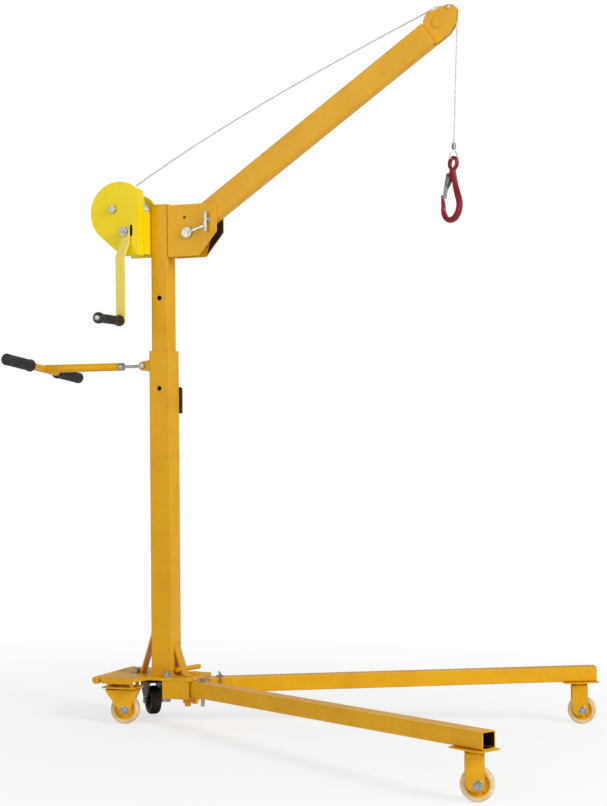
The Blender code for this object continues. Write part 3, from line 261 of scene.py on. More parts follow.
def drawn_wire():
    """Galvanised wire rope: grey drawn wires, greasy in the lay's valleys."""
    mat, tree = new_material("galvanised_wire_rope")
    coords = add(tree, "ShaderNodeTexCoord").outputs["Object"]
    base = ramp(tree, noise(tree, coords, 3, 4), [(0.30, linear("B4B3AF")), (0.70, linear("E6E5E1"))])
    gloss = ramp(tree, noise(tree, coords, 2, 3), [(0.3, 0.32), (0.7, 0.55)])
    finish_material(tree, base, gloss, bumped(tree, noise(tree, coords, 0.6, 2), 0.05, 0.8), metallic=0.6)
    return mat


def forged_crimson():
    """Baked red enamel on a drop-forged hook: deep and glossy, softly uneven from the forging skin."""
    mat, tree = new_material("baked_crimson_enamel")
    coords = add(tree, "ShaderNodeTexCoord").outputs["Object"]
    base = ramp(tree, noise(tree, coords, 24, 4), [(0.30, linear("7C0620")), (0.70, linear("A00E34"))])
    gloss = ramp(tree, noise(tree, coords, 9, 4), [(0.3, 0.22), (0.7, 0.42)])
    skin = bumped(tree, noise(tree, coords, 4.5, 3), 0.16, 0.5)
    finish_material(tree, base, gloss, skin, coat=0.12, coat_roughness=0.2, ior=1.42)
    return mat


YELLOW = enamel("sprayed_yellow_enamel", "E8AC02", "DEA000", "DDBE6C")
LEMON = enamel("sprayed_lemon_enamel", "FCE20C", "F8D906", "F3E48A", rough=0.26)
PALE = enamel("sprayed_pale_enamel", "F6E06C", "F0D65C", "F3E8B4")
ZINC = zinc_plate()
OILED = oiled_steel()
# near-black painted shade for the insides of the tubes and the head bracket
SCALE_AND_SHADE = scale_and_shade_lining()
RUBBER = moulded_rubber()
URETHANE = cast_urethane()
WIRE = drawn_wire()
CRIMSON = forged_crimson()
FINISH = {
    "yellow_enamel": YELLOW, "lemon_enamel": LEMON, "pale_enamel": PALE, "zinc_plated_steel": ZINC,
    "oiled_steel": OILED, "black_rubber": RUBBER, "cream_polyurethane": URETHANE, "steel_wire_rope": WIRE,
    "crimson_enamel": CRIMSON,
}


# ---- camera, floor and light ----
LAMPS = (("key", (4.2, -1.3, 3.2), 2.0, 148), ("fill", (-1.2, -4.6, 2.0), 2.8, 54),
         ("rim", (-1.4, 3.6, 3.4), 2.4, 26))            # name, place, size in metres, power in watts
FLOOR_R = 14.0
FLOOR_DROP = 0.0005             # under the wheels, so that the two faces stay apart


def studio():
    scene = bpy.context.scene
    scene.view_settings.view_transform = "Standard"
    data = bpy.data.cameras.new("camera")
    data.sensor_fit = "VERTICAL"
    data.sensor_height = 36.0
    data.lens = 76.75
    data.clip_end = 60
    camera = bpy.data.objects.new("camera", data)
    camera.location = (1.6113, -4.0547, 0.8010)
    camera.rotation_euler = [math.radians(a) for a in (90.461, -1.647, 21.051)]
    bpy.context.collection.objects.link(camera)
    scene.camera = camera

    world = bpy.data.worlds.new("studio_world")
    scene.world = world
    world.use_nodes = True
    tree = world.node_tree
    tree.nodes.clear()
    path = add(tree, "ShaderNodeLightPath")
    through = add(tree, "ShaderNodeMath", {"operation": "MAXIMUM"},
                  links={0: path.outputs["Is Camera Ray"], 1: path.outputs["Is Transmission Ray"]})
    soft = add(tree, "ShaderNodeBackground", inputs={"Color": (1.0, 1.0, 1.0, 1.0), "Strength": 0.36})
    white = add(tree, "ShaderNodeBackground", inputs={"Color": (1.0, 1.0, 1.0, 1.0), "Strength": 1.0})
    mixed = add(tree, "ShaderNodeMixShader", links={0: through.outputs[0], 1: soft.outputs[0],
                                                    2: white.outputs[0]})
    add(tree, "ShaderNodeOutputWorld", links={"Surface": mixed.outputs[0]})

    middle = Vector((0.1, 0, 0.8))
    for name, place, size, power in LAMPS:
        lamp = bpy.data.lights.new(name, "AREA")
        lamp.size = size
        lamp.energy = power
        obj = bpy.data.objects.new(name, lamp)
        obj.location = place
        aim = middle - Vector(place)
        obj.rotation_euler = aim.to_track_quat("-Z", "Y").to_euler()
        bpy.context.collection.objects.link(obj)


def floor():
    """A pale floor that fades to white a little way off the crane."""
    bm = bmesh.new()
    bmesh.ops.create_circle(bm, cap_ends=True, segments=64, radius=FLOOR_R)
    mesh = bpy.data.meshes.new("floor")
    bm.to_mesh(mesh)
    bm.free()
    obj = bpy.data.objects.new("floor", mesh)
    obj.location = (0, 0, -FLOOR_DROP)
    bpy.context.collection.objects.link(obj)
    mat, tree = new_material("studio_floor")
    coords = add(tree, "ShaderNodeTexCoord").outputs["Object"]
    away = add(tree, "ShaderNodeVectorMath", {"operation": "LENGTH"}, links={0: coords})
    fade = add(tree, "ShaderNodeMapRange", inputs={"From Min": 0.5, "From Max": 1.9, "To Min": 0.68},
               links={"Value": away.outputs["Value"]})
    path = add(tree, "ShaderNodeLightPath")
    seen = add(tree, "ShaderNodeMath", {"operation": "MULTIPLY"},
               links={0: path.outputs["Is Camera Ray"], 1: fade.outputs[0]})
    paper = add(tree, "ShaderNodeBsdfDiffuse", inputs={"Color": (0.93, 0.93, 0.93, 1.0)})
    white = add(tree, "ShaderNodeEmission", inputs={"Color": (1.0, 1.0, 1.0, 1.0), "Strength": 1.0})
    mixed = add(tree, "ShaderNodeMixShader",
                links={0: seen.outputs[0], 1: paper.outputs[0], 2: white.outputs[0]})
    add(tree, "ShaderNodeOutputMaterial", links={"Surface": mixed.outputs[0]})
    mesh.materials.append(mat)


# ---- making meshes ----
def plain(obj):
    """The object's evaluated mesh in place of its modifiers."""
    bpy.context.view_layer.update()
    graph = bpy.context.evaluated_depsgraph_get()
    mesh = bpy.data.meshes.new_from_object(obj.evaluated_get(graph))
    obj.modifiers.clear()
    obj.data = mesh
    return obj


def show(name, mesh_or_bm, mat, body, nodes=(), angle=38, slot=None):
    """Links a mesh in the row frame as a finished piece that may ride on a body and stand for CAD nodes."""
    if isinstance(mesh_or_bm, bmesh.types.BMesh):
        mesh = bpy.data.meshes.new(name)
        mesh_or_bm.to_mesh(mesh)
        mesh_or_bm.free()
    else:
        mesh = mesh_or_bm
    mesh.materials.clear()
    mesh.materials.append(mat)
    mesh.shade_smooth()
    mesh.set_sharp_from_angle(angle=math.radians(angle))
    obj = bpy.data.objects.new(name, mesh)
    bpy.context.collection.objects.link(obj)
    if body is not None:
        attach(obj, body)
    if nodes:
        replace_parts(obj, *nodes)
    if slot is None:
        slot = next(key for key, value in FINISH.items() if value is mat)
    return obj


def cad_copy(node):
    """A clean copy of a CAD node's mesh: welded, with flat faces whole again."""
    bm = bmesh.new()
    bm.from_mesh(NODES[node].data)
    bmesh.ops.remove_doubles(bm, verts=bm.verts, dist=0.00002)
    bmesh.ops.dissolve_limit(bm, angle_limit=math.radians(0.8), verts=bm.verts, edges=bm.edges)
    mesh = bpy.data.meshes.new(f"{node}_copy")
    bm.to_mesh(mesh)
    bm.free()
    return mesh


def level(obj, angle=38):
    """Keeps broad flat faces flat in shading where they run into rounded edges."""
    obj.data.shade_smooth()
    obj.data.set_sharp_from_angle(angle=math.radians(angle))
    weigh = obj.modifiers.new("weigh", "WEIGHTED_NORMAL")
    weigh.keep_sharp = True
    weigh.weight = 100
    return plain(obj)


def eased(node, mat=None, edge_mm=0.7, name=None):
    """A CAD node with its edges rounded as rolled, sawn or stamped steel has them."""
    obj = bpy.data.objects.new("easing", cad_copy(node))
    bpy.context.collection.objects.link(obj)
    bevel = obj.modifiers.new("edge", "BEVEL")
    bevel.width = edge_mm / 1000
    bevel.segments = 2
    bevel.limit_method = "ANGLE"
    bevel.angle_limit = math.radians(38)
    bevel.use_clamp_overlap = True
    mesh = level(plain(obj)).data
    bpy.data.objects.remove(obj, do_unlink=True)
    return show(name or f"{node}_finished", mesh, mat or FINISH[SLOT_OF[node]], BODY_OF[node], (node,),
                slot=SLOT_OF[node])


def touch_up(obj, mat, chosen):
    """Gives the faces that `chosen` picks a second finish."""
    obj.data.materials.append(mat)
    for face in obj.data.polygons:
        if chosen(face):
            face.material_index = 1


def shade_inside(obj, across):
    """Gives the faces that look at a parallel face of the same piece within `across` the near-black painted
    shade.
    """
    mesh = obj.data
    skin = BVHTree.FromPolygons([v.co for v in mesh.vertices], [face.vertices for face in mesh.polygons])

    def faces_another(face):
        hit = skin.ray_cast(face.center + face.normal * 0.0003, face.normal, across)
        return hit[0] is not None and hit[1].dot(face.normal) < -0.98

    touch_up(obj, SCALE_AND_SHADE, faces_another)


def forged(node, mat, grain_mm, smooth):
    """A CAD node re-skinned in one flowing surface, as a forging has."""
    obj = bpy.data.objects.new("forging", cad_copy(node))
    bpy.context.collection.objects.link(obj)
    skin = obj.modifiers.new("skin", "REMESH")
    skin.mode = "VOXEL"
    skin.voxel_size = grain_mm / 1000
    soften = obj.modifiers.new("soften", "SMOOTH")
    soften.iterations = smooth
    soften.factor = 0.5
    plain(obj)
    mesh = obj.data
    bpy.data.objects.remove(obj, do_unlink=True)
    return show(f"{node}_forged", mesh, mat, BODY_OF[node], (node,), angle=60, slot=SLOT_OF[node])


def turned(bm, profile, matrix, sides=64):
    """Adds a closed solid of revolution about the matrix's Y axis; profile points are (radius, place)."""
    rings = []
    for r, w in profile:
        if r == 0:
            rings.append([bm.verts.new(matrix @ Vector((0, w, 0)))])
            continue
        rings.append([bm.verts.new(matrix @ Vector((r * math.cos(2 * math.pi * k / sides), w,
                                                    r * math.sin(2 * math.pi * k / sides))))
                      for k in range(sides)])
    made = []
    for k, one in enumerate(rings):
        two = rings[(k + 1) % len(rings)]
        for i in range(sides):
            loop = [one[i % len(one)], one[(i + 1) % len(one)], two[(i + 1) % len(two)], two[i % len(two)]]
            loop = list(dict.fromkeys(loop))
            if len(loop) > 2:
                made.append(bm.faces.new(loop))
    return made


def fillet(profile, radius, steps=4):
    """The open profile with its inner corners rounded to at most `radius`."""
    points = [profile[0]]
    for before, here, after in zip(profile, profile[1:], profile[2:]):
        a, p, b = Vector(before), Vector(here), Vector(after)
        reach = min(radius, (a - p).length * 0.45, (b - p).length * 0.45)
        start, stop = p + (a - p).normalized() * reach, p + (b - p).normalized() * reach
        for k in range(steps + 1):
            t = k / steps
            points.append(tuple((1 - t) ** 2 * start + 2 * t * (1 - t) * p + t ** 2 * stop))
    points.append(profile[-1])
    return points


def facing_out(bm):
    bmesh.ops.recalc_face_normals(bm, faces=bm.faces)
    return bm


def swept(bm, points, section, closed=False):
    """Adds a skin along points; section(i, share) gives the ring's (across, up) offsets there."""
    count = len(points)
    previous = None
    rings = []
    for i, point in enumerate(points):
        after = points[(i + 1) % count] if closed or i < count - 1 else point
        before = points[i - 1] if closed or i > 0 else point
        along = (after - before).normalized()
        if previous is None:
            guide = Vector((0, 0, 1)) if abs(along.z) < 0.9 else Vector((1, 0, 0))
            across = along.cross(guide).normalized()
        else:
            across = (previous - along * previous.dot(along)).normalized()
        previous = across
        up = along.cross(across)
        ring = section(i, i / max(1, count - 1))
        rings.append([bm.verts.new(point + across * u + up * v) for u, v in ring])
    pairs = list(zip(rings, rings[1:])) + ([(rings[-1], rings[0])] if closed else [])
    for one, two in pairs:
        for k in range(len(one)):
            j = (k + 1) % len(one)
            bm.faces.new((one[k], one[j], two[j], two[k]))
    if not closed:
        bm.faces.new(rings[0])
        bm.faces.new(rings[-1])


def spaced(points, step):
    """Points evenly `step` apart along a polyline."""
    lengths = [0.0]
    for a, b in zip(points, points[1:]):
        lengths.append(lengths[-1] + (b - a).length)
    count = max(2, int(round(lengths[-1] / step)))
    out, k = [], 0
    for i in range(count + 1):
        want = lengths[-1] * i / count
        while k < len(points) - 2 and lengths[k + 1] < want:
            k += 1
        span = lengths[k + 1] - lengths[k]
        out.append(points[k].lerp(points[k + 1], (want - lengths[k]) / span if span else 0))
    return out


def stranded(bm, points, radius, lay=0.026, strands=6, sides=24, closed=False):
    """A wire rope: six strands laid round a core, drawn as one lobed skin that twists along the route."""
    step = lay / 12
    path = spaced(points, step)
    if closed:
        path = path[:-1]

    def section(i, _share):
        turn = 2 * math.pi * i * step / lay
        ring = []
        for k in range(sides):
            a = 2 * math.pi * k / sides
            lobe = radius * (0.84 + 0.16 * abs(math.cos((a - turn) * strands / 2)))
            ring.append((lobe * math.cos(a), lobe * math.sin(a)))
        return ring

    swept(bm, path, section, closed)


# ---- node trees for what repeats ----
def new_tree(name, inputs):
    """A geometry tree with named inputs; gives the tree, its input node and each input's identifier."""
    tree = bpy.data.node_groups.new(name, "GeometryNodeTree")
    tree.interface.new_socket("Geometry", in_out="INPUT", socket_type="NodeSocketGeometry")
    keys = {}
    for label, kind in inputs:
        keys[label] = tree.interface.new_socket(label, in_out="INPUT", socket_type=kind).identifier
    tree.interface.new_socket("Geometry", in_out="OUTPUT", socket_type="NodeSocketGeometry")
    return tree, add(tree, "NodeGroupInput"), keys


def close_tree(tree, source, instances):
    """Realize Instances and Set Material, then the output."""
    real = add(tree, "GeometryNodeRealizeInstances", links={"Geometry": instances})
    skin = add(tree, "GeometryNodeSetMaterial", links={"Geometry": real.outputs["Geometry"],
                                                       "Material": source.outputs["Material"]})
    add(tree, "NodeGroupOutput", links={"Geometry": skin.outputs["Geometry"]})


def ring_tree():
    """Copies of one small solid evenly round the Y axis."""
    tree, source, keys = new_tree("ring_of_pieces", [
        ("Count", "NodeSocketInt"), ("Radius", "NodeSocketFloat"), ("Material", "NodeSocketMaterial")])
    points = add(tree, "GeometryNodePoints", links={"Count": source.outputs["Count"]})
    step = add(tree, "ShaderNodeMath", {"operation": "DIVIDE"}, {0: 2 * math.pi},
               {1: source.outputs["Count"]})
    index = add(tree, "GeometryNodeInputIndex")
    angle = add(tree, "ShaderNodeMath", {"operation": "MULTIPLY"},
                links={0: index.outputs["Index"], 1: step.outputs[0]})
    arm = add(tree, "ShaderNodeCombineXYZ", links={"X": source.outputs["Radius"]})
    place = add(tree, "ShaderNodeVectorRotate", {"rotation_type": "Y_AXIS"},
                links={"Vector": arm.outputs[0], "Angle": angle.outputs[0]})
    seat = add(tree, "GeometryNodeSetPosition",
               links={"Geometry": points.outputs[0], "Position": place.outputs[0]})
    turn = add(tree, "ShaderNodeCombineXYZ", links={"Y": angle.outputs[0]})
    copies = add(tree, "GeometryNodeInstanceOnPoints",
                 links={"Points": seat.outputs["Geometry"], "Instance": source.outputs["Geometry"],
                        "Rotation": turn.outputs[0]})
    close_tree(tree, source, copies.outputs["Instances"])
    return tree, keys


def bead_tree():
    """Ripples of weld, one behind the other along a path of edges."""
    tree, source, keys = new_tree("weld_along_path", [
        ("Pitch", "NodeSocketFloat"), ("Bead", "NodeSocketFloat"), ("Material", "NodeSocketMaterial")])
    route = add(tree, "GeometryNodeMeshToCurve", links={"Mesh": source.outputs["Geometry"]})
    even = add(tree, "GeometryNodeResampleCurve", {"mode": "LENGTH"},
               links={"Curve": route.outputs["Curve"], "Length": source.outputs["Pitch"]})
    points = add(tree, "GeometryNodeCurveToPoints", {"mode": "EVALUATED"},
                 links={"Curve": even.outputs["Curve"]})
    drop = add(tree, "GeometryNodeMeshIcoSphere", inputs={"Subdivisions": 2},
               links={"Radius": source.outputs["Bead"]})
    flat = add(tree, "GeometryNodeTransform", inputs={"Scale": (1.0, 1.0, 0.62)},
               links={"Geometry": drop.outputs["Mesh"]})
    uneven = add(tree, "FunctionNodeRandomValue", {"data_type": "FLOAT"}, {2: 0.88, 3: 1.10, "Seed": 7})
    copies = add(tree, "GeometryNodeInstanceOnPoints",
                 links={"Points": points.outputs["Points"], "Instance": flat.outputs["Geometry"],
                        "Rotation": points.outputs["Rotation"], "Scale": uneven.outputs[1]})
    close_tree(tree, source, copies.outputs["Instances"])
    return tree, keys


RING = ring_tree()
BEAD = bead_tree()


def grown(tree_and_keys, mesh_or_bm, values):
    """The plain mesh that a tree makes from a small mesh; `values` are by input name."""
    tree, keys = tree_and_keys
    if isinstance(mesh_or_bm, bmesh.types.BMesh):
        mesh = bpy.data.meshes.new("seed")
        facing_out(mesh_or_bm).to_mesh(mesh)
        mesh_or_bm.free()
    else:
        mesh = mesh_or_bm
    obj = bpy.data.objects.new("seed", mesh)
    bpy.context.collection.objects.link(obj)
    modifier = obj.modifiers.new("grow", "NODES")
    modifier.node_group = tree
    for label, value in values.items():
        modifier[keys[label]] = value
    result = plain(obj).data
    bpy.data.objects.remove(obj, do_unlink=True)
    return result


def brick(x, y, z):
    """A small solid box between pairs of limits, its edges eased."""
    bm = bmesh.new()
    made = bmesh.ops.create_cube(bm, size=1.0)["verts"]
    for v in made:
        v.co = Vector((x[0] + (v.co.x + 0.5) * (x[1] - x[0]), y[0] + (v.co.y + 0.5) * (y[1] - y[0]),
                       z[0] + (v.co.z + 0.5) * (z[1] - z[0])))
    smallest = min(x[1] - x[0], y[1] - y[0], z[1] - z[0])
    bmesh.ops.bevel(bm, geom=bm.edges[:], offset=smallest * 0.2, segments=2, affect="EDGES", profile=0.5)
    return bm


# ---- casters ----
WHEEL_R = 0.0375
WHEEL_HALF = 0.014
HUB_HALF = 0.0187
FORK_GAP = 0.0003               # between the hub and the fork
FORK_WALL = 0.0025
WASHER_IN = 0.0084
WASHER_OUT = 0.0112
WASHER_EDGE = 0.0108            # where its flat faces turn down to the rim
WASHER_THICK = 0.0006
AXLE_HEAD_R = 0.0086
RACE_R = 0.0186
RACE_BALL_R = 0.0016
RACE_BALLS = 22


def caster_wheel(caster, tyre_finish, hub_finish):
    """A tyre cast round a ribbed hub that turns on a rolled-in bush."""
    matrix = joint_frame(f"{caster}_roll")
    node = f"{caster}_wheel"
    body = BODY_OF[node]
    rim = 0.0262
    bm = bmesh.new()
    half = [(rim, WHEEL_HALF - 0.0006), (rim + 0.0025, WHEEL_HALF - 0.0002), (WHEEL_R - 0.0042, WHEEL_HALF),
            (WHEEL_R - 0.0010, WHEEL_HALF - 0.0035), (WHEEL_R - 0.0002, WHEEL_HALF - 0.0085),
            (WHEEL_R - 0.00002, 0.0)]
    side = fillet(half, 0.003)
    turned(bm, side + [(r, -w) for r, w in reversed(side[:-1])], matrix, 96)
    show(f"{caster}_tyre", facing_out(bm), tyre_finish, body, slot=SLOT_OF[node])
    bm = bmesh.new()
    half = [(0.0053, HUB_HALF), (0.0100, HUB_HALF), (0.0118, HUB_HALF - 0.0016),
            (0.0126, WHEEL_HALF - 0.0035), (0.0220, WHEEL_HALF - 0.0045), (0.0236, WHEEL_HALF - 0.0012),
            (rim - 0.0002, WHEEL_HALF - 0.0007)]
    side = fillet(half, 0.0012)
    turned(bm, side + [(r, -w) for r, w in reversed(side)], matrix, 96)
    show(f"{caster}_hub", facing_out(bm), hub_finish, body, (node,), slot=SLOT_OF[node])
    for face, label in ((-1, "near"), (1, "far")):
        wall = sorted((face * (WHEEL_HALF - 0.0052), face * (WHEEL_HALF - 0.0018)))
        ribs = grown(RING, brick((-0.0058, 0.0058), wall, (-0.0011, 0.0011)),
                     {"Count": 8, "Radius": 0.0175, "Material": hub_finish})
        ribs.transform(matrix)
        show(f"{caster}_hub_ribs_{label}", ribs, hub_finish, body, slot=SLOT_OF[node])


def caster_details(caster):
    """The swivel's race of balls on the fork's crown, and a washer on each side of the fork."""
    fork = f"{caster}_fork"
    body = BODY_OF[fork]
    swivel = joint_frame(f"{caster}_swivel", "Z")
    down = swivel.inverted()
    crown = max((down @ v.co).z for v in NODES[fork].data.vertices)
    bm = bmesh.new()
    bmesh.ops.create_icosphere(bm, subdivisions=2, radius=RACE_BALL_R)
    balls = grown(RING, bm, {"Count": RACE_BALLS, "Radius": RACE_R, "Material": FINISH[SLOT_OF[fork]]})
    balls.transform(swivel @ Matrix.Translation((0, 0, crown)) @ Matrix.Rotation(math.pi / 2, 4, "X"))
    show(f"{caster}_race_balls", balls, FINISH[SLOT_OF[fork]], body, slot=SLOT_OF[fork])
    roll = joint_frame(f"{caster}_roll")
    for face in (-1, 1):
        bm = bmesh.new()
        start = face * (HUB_HALF + FORK_GAP + FORK_WALL)
        end = face * (HUB_HALF + FORK_GAP + FORK_WALL + WASHER_THICK)
        turned(bm, [(WASHER_IN, start), (WASHER_EDGE, start), (WASHER_OUT, (start + end) / 2),
                    (WASHER_EDGE, end), (WASHER_IN, end)], roll, 40)
        show(f"{caster}_washer_{'left' if face > 0 else 'right'}", facing_out(bm), ZINC, body)


def fork(caster):
    """The fork and its top plate, with the axle's heads left in zinc."""
    inward = joint_frame(f"{caster}_roll").inverted()
    cheek = HUB_HALF + FORK_GAP + FORK_WALL + 0.0001

    def on_axle(face):
        place = inward @ face.center
        return math.hypot(place.x, place.z) < AXLE_HEAD_R and abs(place.y) > cheek

    touch_up(eased(f"{caster}_fork", edge_mm=0.6), ZINC, on_axle)
    eased(f"{caster}_plate", edge_mm=0.6)


def casters():
    for caster in ("front_caster_near", "front_caster_far", "rear_caster_near"):
        caster_wheel(caster, URETHANE, YELLOW)
        caster_details(caster)
        fork(caster)
    caster_wheel("rear_caster_far", RUBBER, OILED)
    caster_details("rear_caster_far")
    fork("rear_caster_far")


# ---- rope and hook ----
ROPE_R = 0.0015
ROPE_BOW = math.radians(4.5)    # the slack rope leaves the drum this much steeper than the straight line
ROPE_LEAVES = math.radians(40)  # above level, where the stiff rope lifts off the pulley
DRUM_ROPE_R = 0.050
PULLEY_ROPE_R = 0.038
FALL_X = 0.047                  # the rope's fall ahead of the pulley's axle


def run_points():
    """The rope's middle line from the drum, bowed up to the pulley, over it and out to the fall."""
    pulley = Vector(JOINTS["pulley_spin"]["pos_m"])
    drum = Vector(JOINTS["drum_spin"]["pos_m"])
    between = pulley - drum
    rise = math.atan2(between.z, between.x) + math.asin((DRUM_ROPE_R - PULLEY_ROPE_R) / between.length)
    ends = []
    for centre, radius, slope in ((drum, DRUM_ROPE_R, rise + ROPE_BOW),
                                  (pulley, PULLEY_ROPE_R, rise - ROPE_BOW)):
        along = Vector((math.cos(slope), 0, math.sin(slope)))
        ends.append((centre + Vector((-along.z, 0, along.x)) * radius, along * between.length / 3))
    (start, out), (stop, into) = ends
    points = [p.copy() for p in interpolate_bezier(start, start + out, stop - into, stop, 60)[:-1]]

    def bend(centre, radius, first, last, steps):
        return [centre + Vector((math.cos(a), 0, math.sin(a))) * radius
                for a in (first + (last - first) * i / steps for i in range(steps + 1))]

    points += bend(pulley, PULLEY_ROPE_R, rise - ROPE_BOW + math.pi / 2, ROPE_LEAVES, 24)[:-1]
    level = math.cos(ROPE_LEAVES)
    stiff_r = (FALL_X - PULLEY_ROPE_R * level) / (1 - level)
    centre = pulley + Vector((level, 0, math.sin(ROPE_LEAVES))) * (PULLEY_ROPE_R - stiff_r)
    return points + bend(centre, stiff_r, ROPE_LEAVES, 0.0, 12)


def ropes():
    route = run_points()
    bm = bmesh.new()
    stranded(bm, route, ROPE_R)
    run = show("rope_run_laid", facing_out(bm), WIRE, None, ("rope_run",), angle=180)
    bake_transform(run)

    low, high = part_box("rope_fall")
    x = (low[0] + high[0]) / 2
    bm = bmesh.new()
    stranded(bm, [Vector((x, 0, high[2])), Vector((x, 0, low[2]))], ROPE_R)
    fall = show("rope_fall_laid", facing_out(bm), WIRE, "fall", ("rope_fall",), angle=180)
    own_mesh(fall)

    matrix = Matrix.Translation(Vector(JOINTS["drum_spin"]["pos_m"]))
    bm = bmesh.new()
    core, turns, wide, steps = DRUM_ROPE_R - 2 * ROPE_R - 0.0003, 18, 0.056, 36
    coil = []
    for i in range(turns * steps + 1):
        a = 2 * math.pi * i / steps
        across = -wide / 2 + wide * i / (turns * steps)
        coil.append(matrix @ Vector((core * math.cos(a), across, core * math.sin(a))))
    stranded(bm, coil, ROPE_R, sides=12)
    turned(bm, [(0.0203, -0.030), (core, -0.030), (core, 0.030), (0.0203, 0.030)], matrix, 48)
    show("rope_wound", facing_out(bm), WIRE, BODY_OF["rope_on_drum"], ("rope_on_drum",), angle=60)
    eased("rope_loop", edge_mm=0.1)


def hook():
    forged("hook", CRIMSON, 0.7, 6)
    eased("hook_latch", edge_mm=0.25)
    low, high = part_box("rope_ferrule")
    x = (low[0] + high[0]) / 2
    turn = Matrix.Translation((x, 0, 0)) @ Matrix.Rotation(math.pi / 2, 4, "X")
    long = high[2] - low[2]
    wall = [(0, high[2]), (0.0046, high[2]), (0.0058, high[2] - 0.0015)]
    for i in range(3):
        z = high[2] - long * (0.22 + 0.25 * i)
        wall += [(0.0058, z), (0.0050, z - 0.0008), (0.0050, z - 0.0020), (0.0058, z - 0.0028)]
    wall += [(0.0058, low[2] + 0.0012), (0.0046, low[2]), (0, low[2])]
    bm = bmesh.new()
    turned(bm, fillet(wall, 0.0008), turn, 40)
    show("rope_ferrule_pressed", facing_out(bm), ZINC, BODY_OF["rope_ferrule"], ("rope_ferrule",))


# ---- round pieces ----
def pulley():
    """The grooved pulley, dished between its hub and its rim."""
    matrix = Matrix.Translation(Vector(JOINTS["pulley_spin"]["pos_m"]))
    half, rim, groove = 0.0045, 0.040, 0.0364
    side = [(0.0083, half), (0.0145, half), (0.0158, half - 0.0012), (0.0290, half - 0.0022),
            (0.0310, half - 0.0011), (rim - 0.001, half - 0.001), (rim, half - 0.0015)]
    side = fillet(side, 0.0010)
    bed = [(groove + 0.0017 * (1 - math.cos(a)), 0.0017 * math.sin(a))
           for a in (math.pi / 2 * (1 - i / 5) for i in range(6))]
    half_profile = side + bed
    bm = bmesh.new()
    turned(bm, half_profile + [(r, -w) for r, w in reversed(half_profile[:-1])], matrix, 96)
    show("pulley_grooved", facing_out(bm), ZINC, BODY_OF["pulley"], ("pulley",))


def ribbed(profile_start, profile_end, radius, rib, count):
    """Shallow rings between two places along a grip."""
    points = []
    pitch = (profile_end - profile_start) / count
    for i in range(count):
        place = profile_start + i * pitch
        points += [(radius, place), (radius, place + pitch * 0.40), (radius - rib, place + pitch * 0.52),
                   (radius - rib, place + pitch * 0.88)]
    points.append((radius, profile_end))
    return points


def crank():
    low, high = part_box("crank_grip")
    place = Vector(JOINTS["grip_spin"]["pos_m"])
    matrix = Matrix.Translation((place.x, high[1], place.z))
    end = low[1] - high[1]
    wall = [(0.0044, 0.0), (0.0122, 0.0), (0.0145, -0.0035), (0.0145, -0.0105),
            (0.0122, -0.0165), (0.0105, -0.0240), (0.0109, -0.045),
            (0.0109, end + 0.045), (0.0105, end + 0.0240), (0.0122, end + 0.0165), (0.0145, end + 0.0105),
            (0.0145, end + 0.0035), (0.0122, end), (0.0044, end)]
    bm = bmesh.new()
    turned(bm, fillet(wall, 0.006, 5), matrix, 64)
    show("crank_grip_moulded", facing_out(bm), RUBBER, BODY_OF["crank_grip"], ("crank_grip",))
    flutes = grown(RING, brick((-0.0004, 0.0006), (end + 0.030, -0.030), (-0.0007, 0.0007)),
                   {"Count": 16, "Radius": 0.0109, "Material": RUBBER})
    flutes.transform(matrix)
    show("crank_grip_flutes", flutes, RUBBER, BODY_OF["crank_grip"])
    for node in ("crank_arm", "crank_shaft", "crank_grip_bolt"):
        eased(node, edge_mm=1.0 if node == "crank_arm" else 0.5)


HANDLE_TWIST = math.radians(-5.3)


def tow_handle():
    """The T of the handle: stem, crossbar and two moulded grips, twisted a little about the stem."""
    hinge = Vector(JOINTS["tow_handle_fold"]["pos_m"])
    frame_matrix = (Matrix.Translation(hinge) @ Matrix.Rotation(-LEAN, 4, "Y")
                    @ Matrix.Rotation(HANDLE_TWIST, 4, "X"))
    reach, bar_r, bar_half = 0.302, 0.010, 0.190
    body = BODY_OF["handle_crossbar"]
    bar = frame_matrix @ Matrix.Translation((-reach, 0, 0))
    bm = bmesh.new()
    wall = [(0, bar_half), (bar_r - 0.0008, bar_half), (bar_r, bar_half - 0.0008)]
    turned(bm, wall + [(r, -w) for r, w in reversed(wall)], bar, 64)
    show("crossbar_tube", facing_out(bm), YELLOW, body, ("handle_crossbar",))

    along = frame_matrix @ Matrix.Rotation(-math.pi / 2, 4, "Z")
    bm = bmesh.new()
    near, far = -0.0763, -reach + bar_r * 0.2
    wall = [(0, near), (0.0098, near), (0.0105, near - 0.001), (0.0105, far), (0, far)]
    turned(bm, wall, along, 64)
    show("stem_tube", facing_out(bm), YELLOW, body, ("handle_stem",))

    grip_r, start, end = 0.015, bar_half + 0.010 - 0.128, bar_half + 0.010
    for side, label in ((-1, "near"), (1, "far")):
        wall = [(bar_r + 0.0004, start), (grip_r + 0.0015, start), (grip_r + 0.0015, start + 0.0045),
                (grip_r - 0.0002, start + 0.0065)]
        wall += ribbed(start + 0.014, end - 0.022, grip_r, 0.0009, 14)
        wall += [(grip_r, end - 0.016), (grip_r + 0.0004, end - 0.006), (grip_r - 0.003, end - 0.0005),
                 (grip_r - 0.006, end), (0, end), (0, bar_half + 0.0004),
                 (bar_r + 0.0004, bar_half + 0.0004)]
        bm = bmesh.new()
        turned(bm, [(r, side * w) for r, w in wall], bar, 56)
        show(f"grip_{label}_moulded", facing_out(bm), RUBBER, body, (f"handle_grip_{label}",), angle=50)
    eased("handle_rod", edge_mm=0.4)


# ---- welds ----
BOOM_PIVOT = (0.082, 0, 1.3058)
BOOM_SLOPE = math.radians(34.33)
BOOM_END = 0.7962


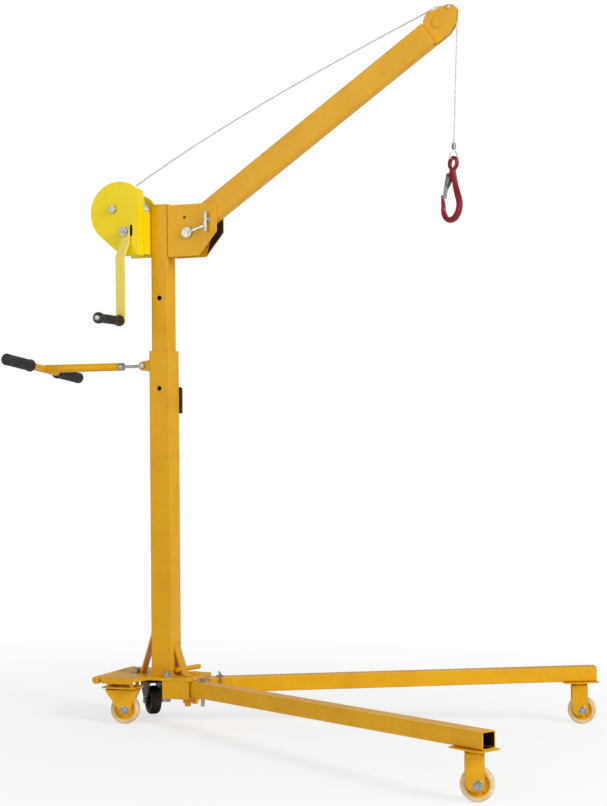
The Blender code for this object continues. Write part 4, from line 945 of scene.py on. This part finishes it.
def weld(name, points, body, bead_mm=2.2, matrix=CRANE):
    """A painted weld along points given in a frame of the crane."""
    mesh = bpy.data.meshes.new("route")
    mesh.from_pydata([matrix @ Vector(p) for p in points], [(i, i + 1) for i in range(len(points) - 1)], [])
    bead = grown(BEAD, mesh, {"Pitch": 0.0012, "Bead": bead_mm / 1000, "Material": YELLOW})
    show(name, bead, YELLOW, body, angle=80)


def welds():
    foot = 0.1633
    half, brace = 0.0303, 0.016
    weld("weld_mast_near", [(-half, -half, foot), (half, -half, foot)], "base")
    weld("weld_mast_far", [(-half, half, foot), (half, half, foot)], "base")
    for side, label in ((-1, "near"), (1, "far")):
        for face, reach, tall, end in ((1, 0.027, 0.080, "front"), (-1, 0.039, 0.121, "rear")):
            x = face * half
            weld(f"weld_mast_{end}_{label}", [(x, side * half, foot), (x, side * 0.001, foot)], "base")
            weld(f"weld_brace_top_{end}_{label}",
                 [(x, 0, foot + tall), (x, side * brace, foot + tall),
                  (x, side * brace, foot + tall - 0.012)], "base", 1.7)
            weld(f"weld_brace_foot_{end}_{label}",
                 [(x + face * reach, 0, foot), (x + face * reach, side * brace, foot)], "base", 1.7)
        edge = side * 0.0243
        weld(f"weld_bracket_{label}", [(0.0260, edge, 1.252), (0.0260, edge, 1.374)], "inner_mast", 1.5)
        ear = side * 0.0165
        weld(f"weld_ear_{label}", [(-0.0345, ear, 0.951), (-0.0345, ear, 0.979)], "base", 1.2)
    pivot = crane_point(*BOOM_PIVOT)
    boom = Matrix.Translation(pivot) @ Matrix.Rotation(-LEAN - BOOM_SLOPE, 4, "Y")
    for side, label in ((-1, "near"), (1, "far")):
        edge = side * 0.0083
        weld(f"weld_tip_{label}", [(BOOM_END, edge, -0.0150), (BOOM_END, edge, 0.0400)], "boom", 1.3, boom)


# ---- the whole scene ----
def build():
    studio()
    floor()
    ropes()
    hook()
    casters()
    pulley()
    crank()
    tow_handle()
    done = set()
    for obj in bpy.data.objects:
        done.update(obj.get("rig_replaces", []))
    edges = {"gear_cover": 1.2, "tip_plate_near": 0.4, "tip_plate_far": 0.4, "winch_frame": 0.8,
             "base_top_plate": 1.0, "head_bracket": 0.8, "mast_outer_tube": 0.6}
    # the drum is painted lemon; the lock pin's dark oiled steel is partly its finish and partly painted
    # shade on its tab
    finishes_and_painted_shade = {"drum": LEMON, "mast_lock_pin": OILED}
    # insides of these pieces get the near-black painted shade; in the tubes it also stands for bare scale
    painted_shade_hollows = {"mast_outer_tube": 0.058, "mast_inner_tube": 0.048, "boom_tube": 0.058, "leg_near": 0.039,
              "leg_far": 0.039, "head_bracket": 0.060}
    for node in sorted(NODES):
        if node not in done:
            piece = eased(node, finishes_and_painted_shade.get(node), edge_mm=edges.get(node, 0.5))
            if node in painted_shade_hollows:
                shade_inside(piece, painted_shade_hollows[node])
    welds()


build()
